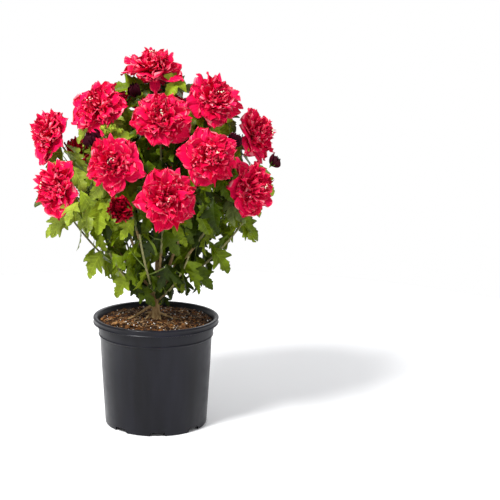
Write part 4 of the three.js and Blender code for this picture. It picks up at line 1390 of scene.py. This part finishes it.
def petal_sheets(whorl, flower):
    """The petals of one whorl in the bloom's own frame, z along the way that it faces. Those of the
    pompom are shorter on its bare side, where the smooth guard petals show."""
    kind = whorl["kind"]
    count = whorl["count"]
    u = np.linspace(0, 1, kind["rows"])[None, :, None]
    v = np.linspace(-1, 1, kind["columns"])[None, None, :]

    def each(low, high):
        return random.uniform(low, high, count)[:, None, None]

    def ripple(place, low, high, shift=0):
        return np.sin(place * each(low, high) + each(0, 6) + shift)

    swelling = np.sin(np.minimum(u / kind["shoulder"], 1) * math.pi / 2) ** kind["swell"]
    closing = 1 - (np.maximum(u - kind["rim"], 0) / kind["rim_length"]) ** kind["rim_power"]
    closing = np.maximum(closing, kind["rim_width"])
    width = kind["foot"] + (1 - kind["foot"]) * swelling
    if kind is GUARD:
        width = width * closing**0.42
        tip = 1 - 0.16 * v**2 + 0.04 * ripple(v, 7, 10)
    else:
        width = width * closing ** each(0.2, 0.5)
        tip = 1 - each(0.1, 0.24) * v**2 + 0.06 * ripple(v, 3, 6)
        tip = tip + random.uniform(-0.018, 0.018, (count, 1, kind["columns"])) * u**2
    cup = each(*kind["cup"])
    loose = kind["loose"] * flower["ease"]
    turn = (np.arange(count) + flower.get("turn", random.uniform(0, 1))) * 2 * math.pi / count
    turn = turn[:, None, None] + each(-TURN_SPREAD, TURN_SPREAD) * loose
    length = whorl["length"] * each(*kind["lengths"])
    if kind is POMPOM:
        length = length * (1 - flower["bare_share"] * np.maximum(np.cos(turn - flower["bare"]), 0))
    half = whorl["half"] * each(*PETAL_WIDTHS)
    rise = np.radians(whorl["rise"] + each(-RISE_SPREAD, RISE_SPREAD) * loose)
    bend = np.radians(whorl["bend"] + each(-BEND_SPREAD, BEND_SPREAD) * loose)
    bend = np.where(np.abs(bend) < LEAST_BEND, LEAST_BEND, bend)
    angle = rise + bend * u * tip
    radial = PETAL_FOOT_RADIUS + length * (np.sin(angle) - np.sin(rise)) / bend
    height = length * (np.cos(rise) - np.cos(angle)) / bend
    side = v * half * width
    twist = each(-TWIST, TWIST) * u * loose
    normal = cup * side**2 / half * 0.5
    waves = ripple(v, 3.5, 6, u * 2) * (0.35 + 0.65 * np.abs(v))
    folds = ripple(v * kind["ripples"], 8, 13) * 0.4
    dents = ripple(u, 7, 12, v * 3) * 0.45
    frill = ripple(v * kind["ripples"], 13, 19) * 0.7 * u**4
    crumple = kind["crumple"] * flower["ease"] * whorl["length"]
    normal = normal + crumple * u**1.5 * (waves + folds + dents + frill)
    across = side * np.cos(twist) - normal * np.sin(twist)
    normal = side * np.sin(twist) + normal * np.cos(twist)
    radial = radial - normal * np.sin(angle)
    height = height + normal * np.cos(angle)
    x = radial * np.cos(turn) - across * np.sin(turn)
    y = radial * np.sin(turn) + across * np.cos(turn)
    places = np.stack(np.broadcast_arrays(v * 0.5 + 0.5, u), axis=3)[0].reshape(-1, 2)
    return np.stack([x, y, height], axis=3), places


def petal_material(name, foot, body, pale_rim_and_highlight):
    """Petal skin: deep at its foot, which is partly the petal's own colour and partly painted shade deep in
    the bloom, and paler at its rim, which is partly its own colour and partly painted highlight, with fine
    raised veins along it. The tone follows the way from foot to rim, a little further on at the corners, and
    is made uneven."""
    material, tree, surface = shader(name, body, 0.6, Specular_IOR_Level=0.06)
    place, across, along = sheet_place(tree)
    aside = arithmetic(tree, "ABSOLUTE", arithmetic(tree, "MULTIPLY_ADD", across, 2, -1), 0)
    rim = arithmetic(tree, "MULTIPLY_ADD", arithmetic(tree, "POWER", aside, 4), 0.3, along)
    uneven = arithmetic(tree, "MULTIPLY_ADD", noise(tree, 110, 4), 0.5, rim)
    veins = tree.nodes.new("ShaderNodeTexWave")
    veins.inputs["Scale"].default_value = 3.2
    veins.inputs["Distortion"].default_value = 2.5
    veins.inputs["Detail"].default_value = 2
    tree.links.new(place, veins.inputs["Vector"])
    streaked = arithmetic(tree, "MULTIPLY_ADD", veins.outputs["Fac"], 0.22, uneven)
    # The foot colour is partly painted shade and the rim colour partly painted highlight.
    tones = [(0.2, foot), (0.44, body), (0.74, body), (0.9, pale_rim_and_highlight)]
    tree.links.new(
        ramp(tree, arithmetic(tree, "MULTIPLY", streaked, 0.55), tones), surface.inputs["Base Color"]
    )
    add_bump(tree, surface, veins.outputs["Fac"], 0.5, 0.6)
    return material


def face_frame(face):
    """Rows: two directions square to the way that the bloom faces, then that way."""
    first = sideways(face, 0)
    return np.stack([first, np.cross(face, first), face])


def flower_piece(name, flowers, whorls, looks):
    """One joined piece of the petals of several flowers."""
    points = []
    slots = []
    uvs = []
    faces = []
    start = 0
    for flower in flowers:
        for whorl in whorls:
            sheets, places = petal_sheets(whorl, flower)
            count, rows, columns, _ = sheets.shape
            sheets = sheets.reshape(-1, 3) * flower["scale"]
            points.append(flower["foot"] + sheets @ face_frame(flower["face"]))
            faces.append(grid_faces(rows, columns, count) + start)
            tones = random.choice(len(looks), count, p=whorl["tones"])
            slots.append(np.repeat(tones, (rows - 1) * (columns - 1)))
            uvs.append(np.tile(places, (count, 1)))
            start += len(sheets)
    arrays = [np.concatenate(part) for part in (points, faces, slots, uvs)]
    piece = mesh_piece(name, *arrays)
    for look in looks:
        piece.data.materials.append(look)
    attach(piece, "root")


def cup_tube(flower):
    """The swollen green end of a stalk that holds a flower."""
    size = flower["scale"]
    line = [flower["foot"] + flower["face"] * step * size for step in CUP_STEPS]
    return tube(line, [radius * size for radius in CUP_RADII], 12)


# Three tones of one red: coral is painted light, deep red is painted shade, crimson lies between.
petal_looks = [
    petal_material("petal_coral_painted_light", (0.54, 0.001, 0.038), (0.78, 0.004, 0.07), (0.92, 0.27, 0.31)),
    petal_material("petal_crimson", (0.46, 0.001, 0.032), (0.72, 0.001, 0.053), (0.89, 0.17, 0.22)),
    petal_material("petal_deep_painted_shade", (0.36, 0.001, 0.023), (0.62, 0.001, 0.041), (0.81, 0.07, 0.13)),
]
cream = mottled("cream_stamen", (0.78, 0.62, 0.42), (0.88, 0.78, 0.62), 900, 0.6, 0.2)
sepal_green = mottled("sepal_green", (0.07, 0.13, 0.012), (0.15, 0.24, 0.03), 150, 0.55, 0.3)

random = np.random.default_rng(41)
open_flowers = []
for mass in masses:
    flowers = []
    for bloom in mass["blooms"]:
        order = len(open_flowers) + len(flowers)
        hour = math.radians(BARE_HOURS[order] * 30)
        right = unit(np.cross(UP, bloom["face"]))
        bare = face_frame(bloom["face"]) @ (UP * math.cos(hour) + right * math.sin(hour))
        flowers.append({
            "foot": bloom["centre"] - bloom["face"] * BLOOM_RADIUS * BLOOM_BACK,
            "face": unit(bloom["face"] - np.array([0, SIDE_TURN if order in SIDE_BLOOMS else 0, 0])),
            "scale": 1,
            "bare": math.atan2(bare[1], bare[0]),
            "bare_share": 0 if order in FULL_BLOOMS else BARE_SHARE,
            "ease": 1,
        })
    if flowers:
        flower_piece(f"blooms_{mass['name']}", flowers, WHORLS, petal_looks)
    open_flowers += flowers
flower_piece("sepals", open_flowers, [SEPALS], [sepal_green])

topmost = max(open_flowers, key=lambda flower: flower["foot"][2])
toward_front = face_frame(topmost["face"]) @ np.array([0.1, -1, 0])
front_turn = math.atan2(toward_front[1], toward_front[0]) / (2 * math.pi)
hanging = {**topmost, "ease": HANGING_EASE, "turn": front_turn}
flower_piece("hanging_petal", [hanging], [HANGING_PETAL], petal_looks)

anthers = []
for flower in open_flowers:
    arms = random.normal(0, 1, (STAMENS, 3)) * STAMEN_SPREAD + [0, 0, STAMEN_HEIGHT]
    sizes = np.ones((STAMENS, 3)) * random.uniform(*ANTHER_RADIUS, (STAMENS, 1))
    places = flower["foot"] + arms @ face_frame(flower["face"])
    anthers.append(strewn(lump_corners, lump_faces, sizes, rotations(STAMENS, ANY_TILT), places, 0.2))
anther_piece = solid_piece("stamens", anthers)
anther_piece.data.materials.append(cream)
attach(anther_piece, "root")


# Buds. Two half-open flowers, their petals still rolled inwards and a deeper red, tight maroon
# buds, and small yellow-green ones at twig ends near the top. All sit in green cups on stalks.
HALF_OPEN = [
    petal_ring(GUARD, 6, 36, 14, 4, 112, [0.6, 0.4]),
    petal_ring(POMPOM, 12, 37, 7, 20, 84, [0.7, 0.3]),
    petal_ring(POMPOM, 13, 37, 7, 38, 58, [0.8, 0.2]),
    petal_ring(POMPOM, 11, 36, 6.5, 56, 34, [0.8, 0.2]),
    petal_ring(POMPOM, 8, 35, 5.5, 76, 12, [0.8, 0.2]),
]
CLOSED = [
    petal_ring(POMPOM, 6, 56, 18, 26, 92, [0.6, 0.4]),
    petal_ring(POMPOM, 6, 50, 13, 44, 60, [0.5, 0.5]),
    petal_ring(POMPOM, 4, 46, 10, 66, 28, [0.5, 0.5]),
]
BUD_SEPALS = petal_ring(POMPOM, 5, 30, 11, 24, 78, [1])
HALF_OPEN_SIZE = 19
HALF_OPEN_EASE = 0.75
BUD_EASE = 0.42

half_open_looks = [
    petal_material("half_open_red", (0.16, 0.001, 0.008), (0.38, 0.001, 0.018), (0.54, 0.006, 0.034)),
    petal_material("half_open_dark", (0.1, 0.001, 0.006), (0.22, 0.001, 0.01), (0.4, 0.004, 0.022)),
]
maroon_looks = [
    petal_material("maroon", (0.022, 0.001, 0.003), (0.05, 0.003, 0.01), (0.1, 0.008, 0.022)),
    petal_material("dark_maroon", (0.012, 0.001, 0.002), (0.028, 0.002, 0.007), (0.06, 0.005, 0.014)),
]
young_looks = [
    petal_material("bud_green", (0.1, 0.18, 0.01), (0.26, 0.36, 0.03), (0.36, 0.45, 0.05)),
    petal_material("bud_lime", (0.16, 0.24, 0.01), (0.4, 0.47, 0.05), (0.5, 0.55, 0.09)),
]
for bud in buds + young_buds:
    opening = bud.get("radius", 0) >= HALF_OPEN_SIZE
    bud.update({"bare": 0, "bare_share": 0, "ease": HALF_OPEN_EASE if opening else BUD_EASE})
young_buds += buds[len(BUDS) :]
closed = [bud for bud in buds[: len(BUDS)] if bud["radius"] < HALF_OPEN_SIZE]
half_open = [bud for bud in buds if bud["radius"] >= HALF_OPEN_SIZE]
flower_piece("half_open_blooms", half_open, HALF_OPEN, half_open_looks)
flower_piece("maroon_buds", closed, CLOSED, maroon_looks)
flower_piece("green_buds", young_buds, CLOSED, young_looks)
flower_piece("bud_sepals", half_open + closed + young_buds, [BUD_SEPALS], [sepal_green])
cups = [cup_tube(flower) for flower in open_flowers + closed + half_open + young_buds]
cup_piece = solid_piece("flower_cups", cups)
cup_piece.data.materials.append(sepal_green)
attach(cup_piece, "root")

boxes = {"cad": CAD_BOX, "visual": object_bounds()}
{name: [list(corner) for corner in box] for name, box in boxes.items()}
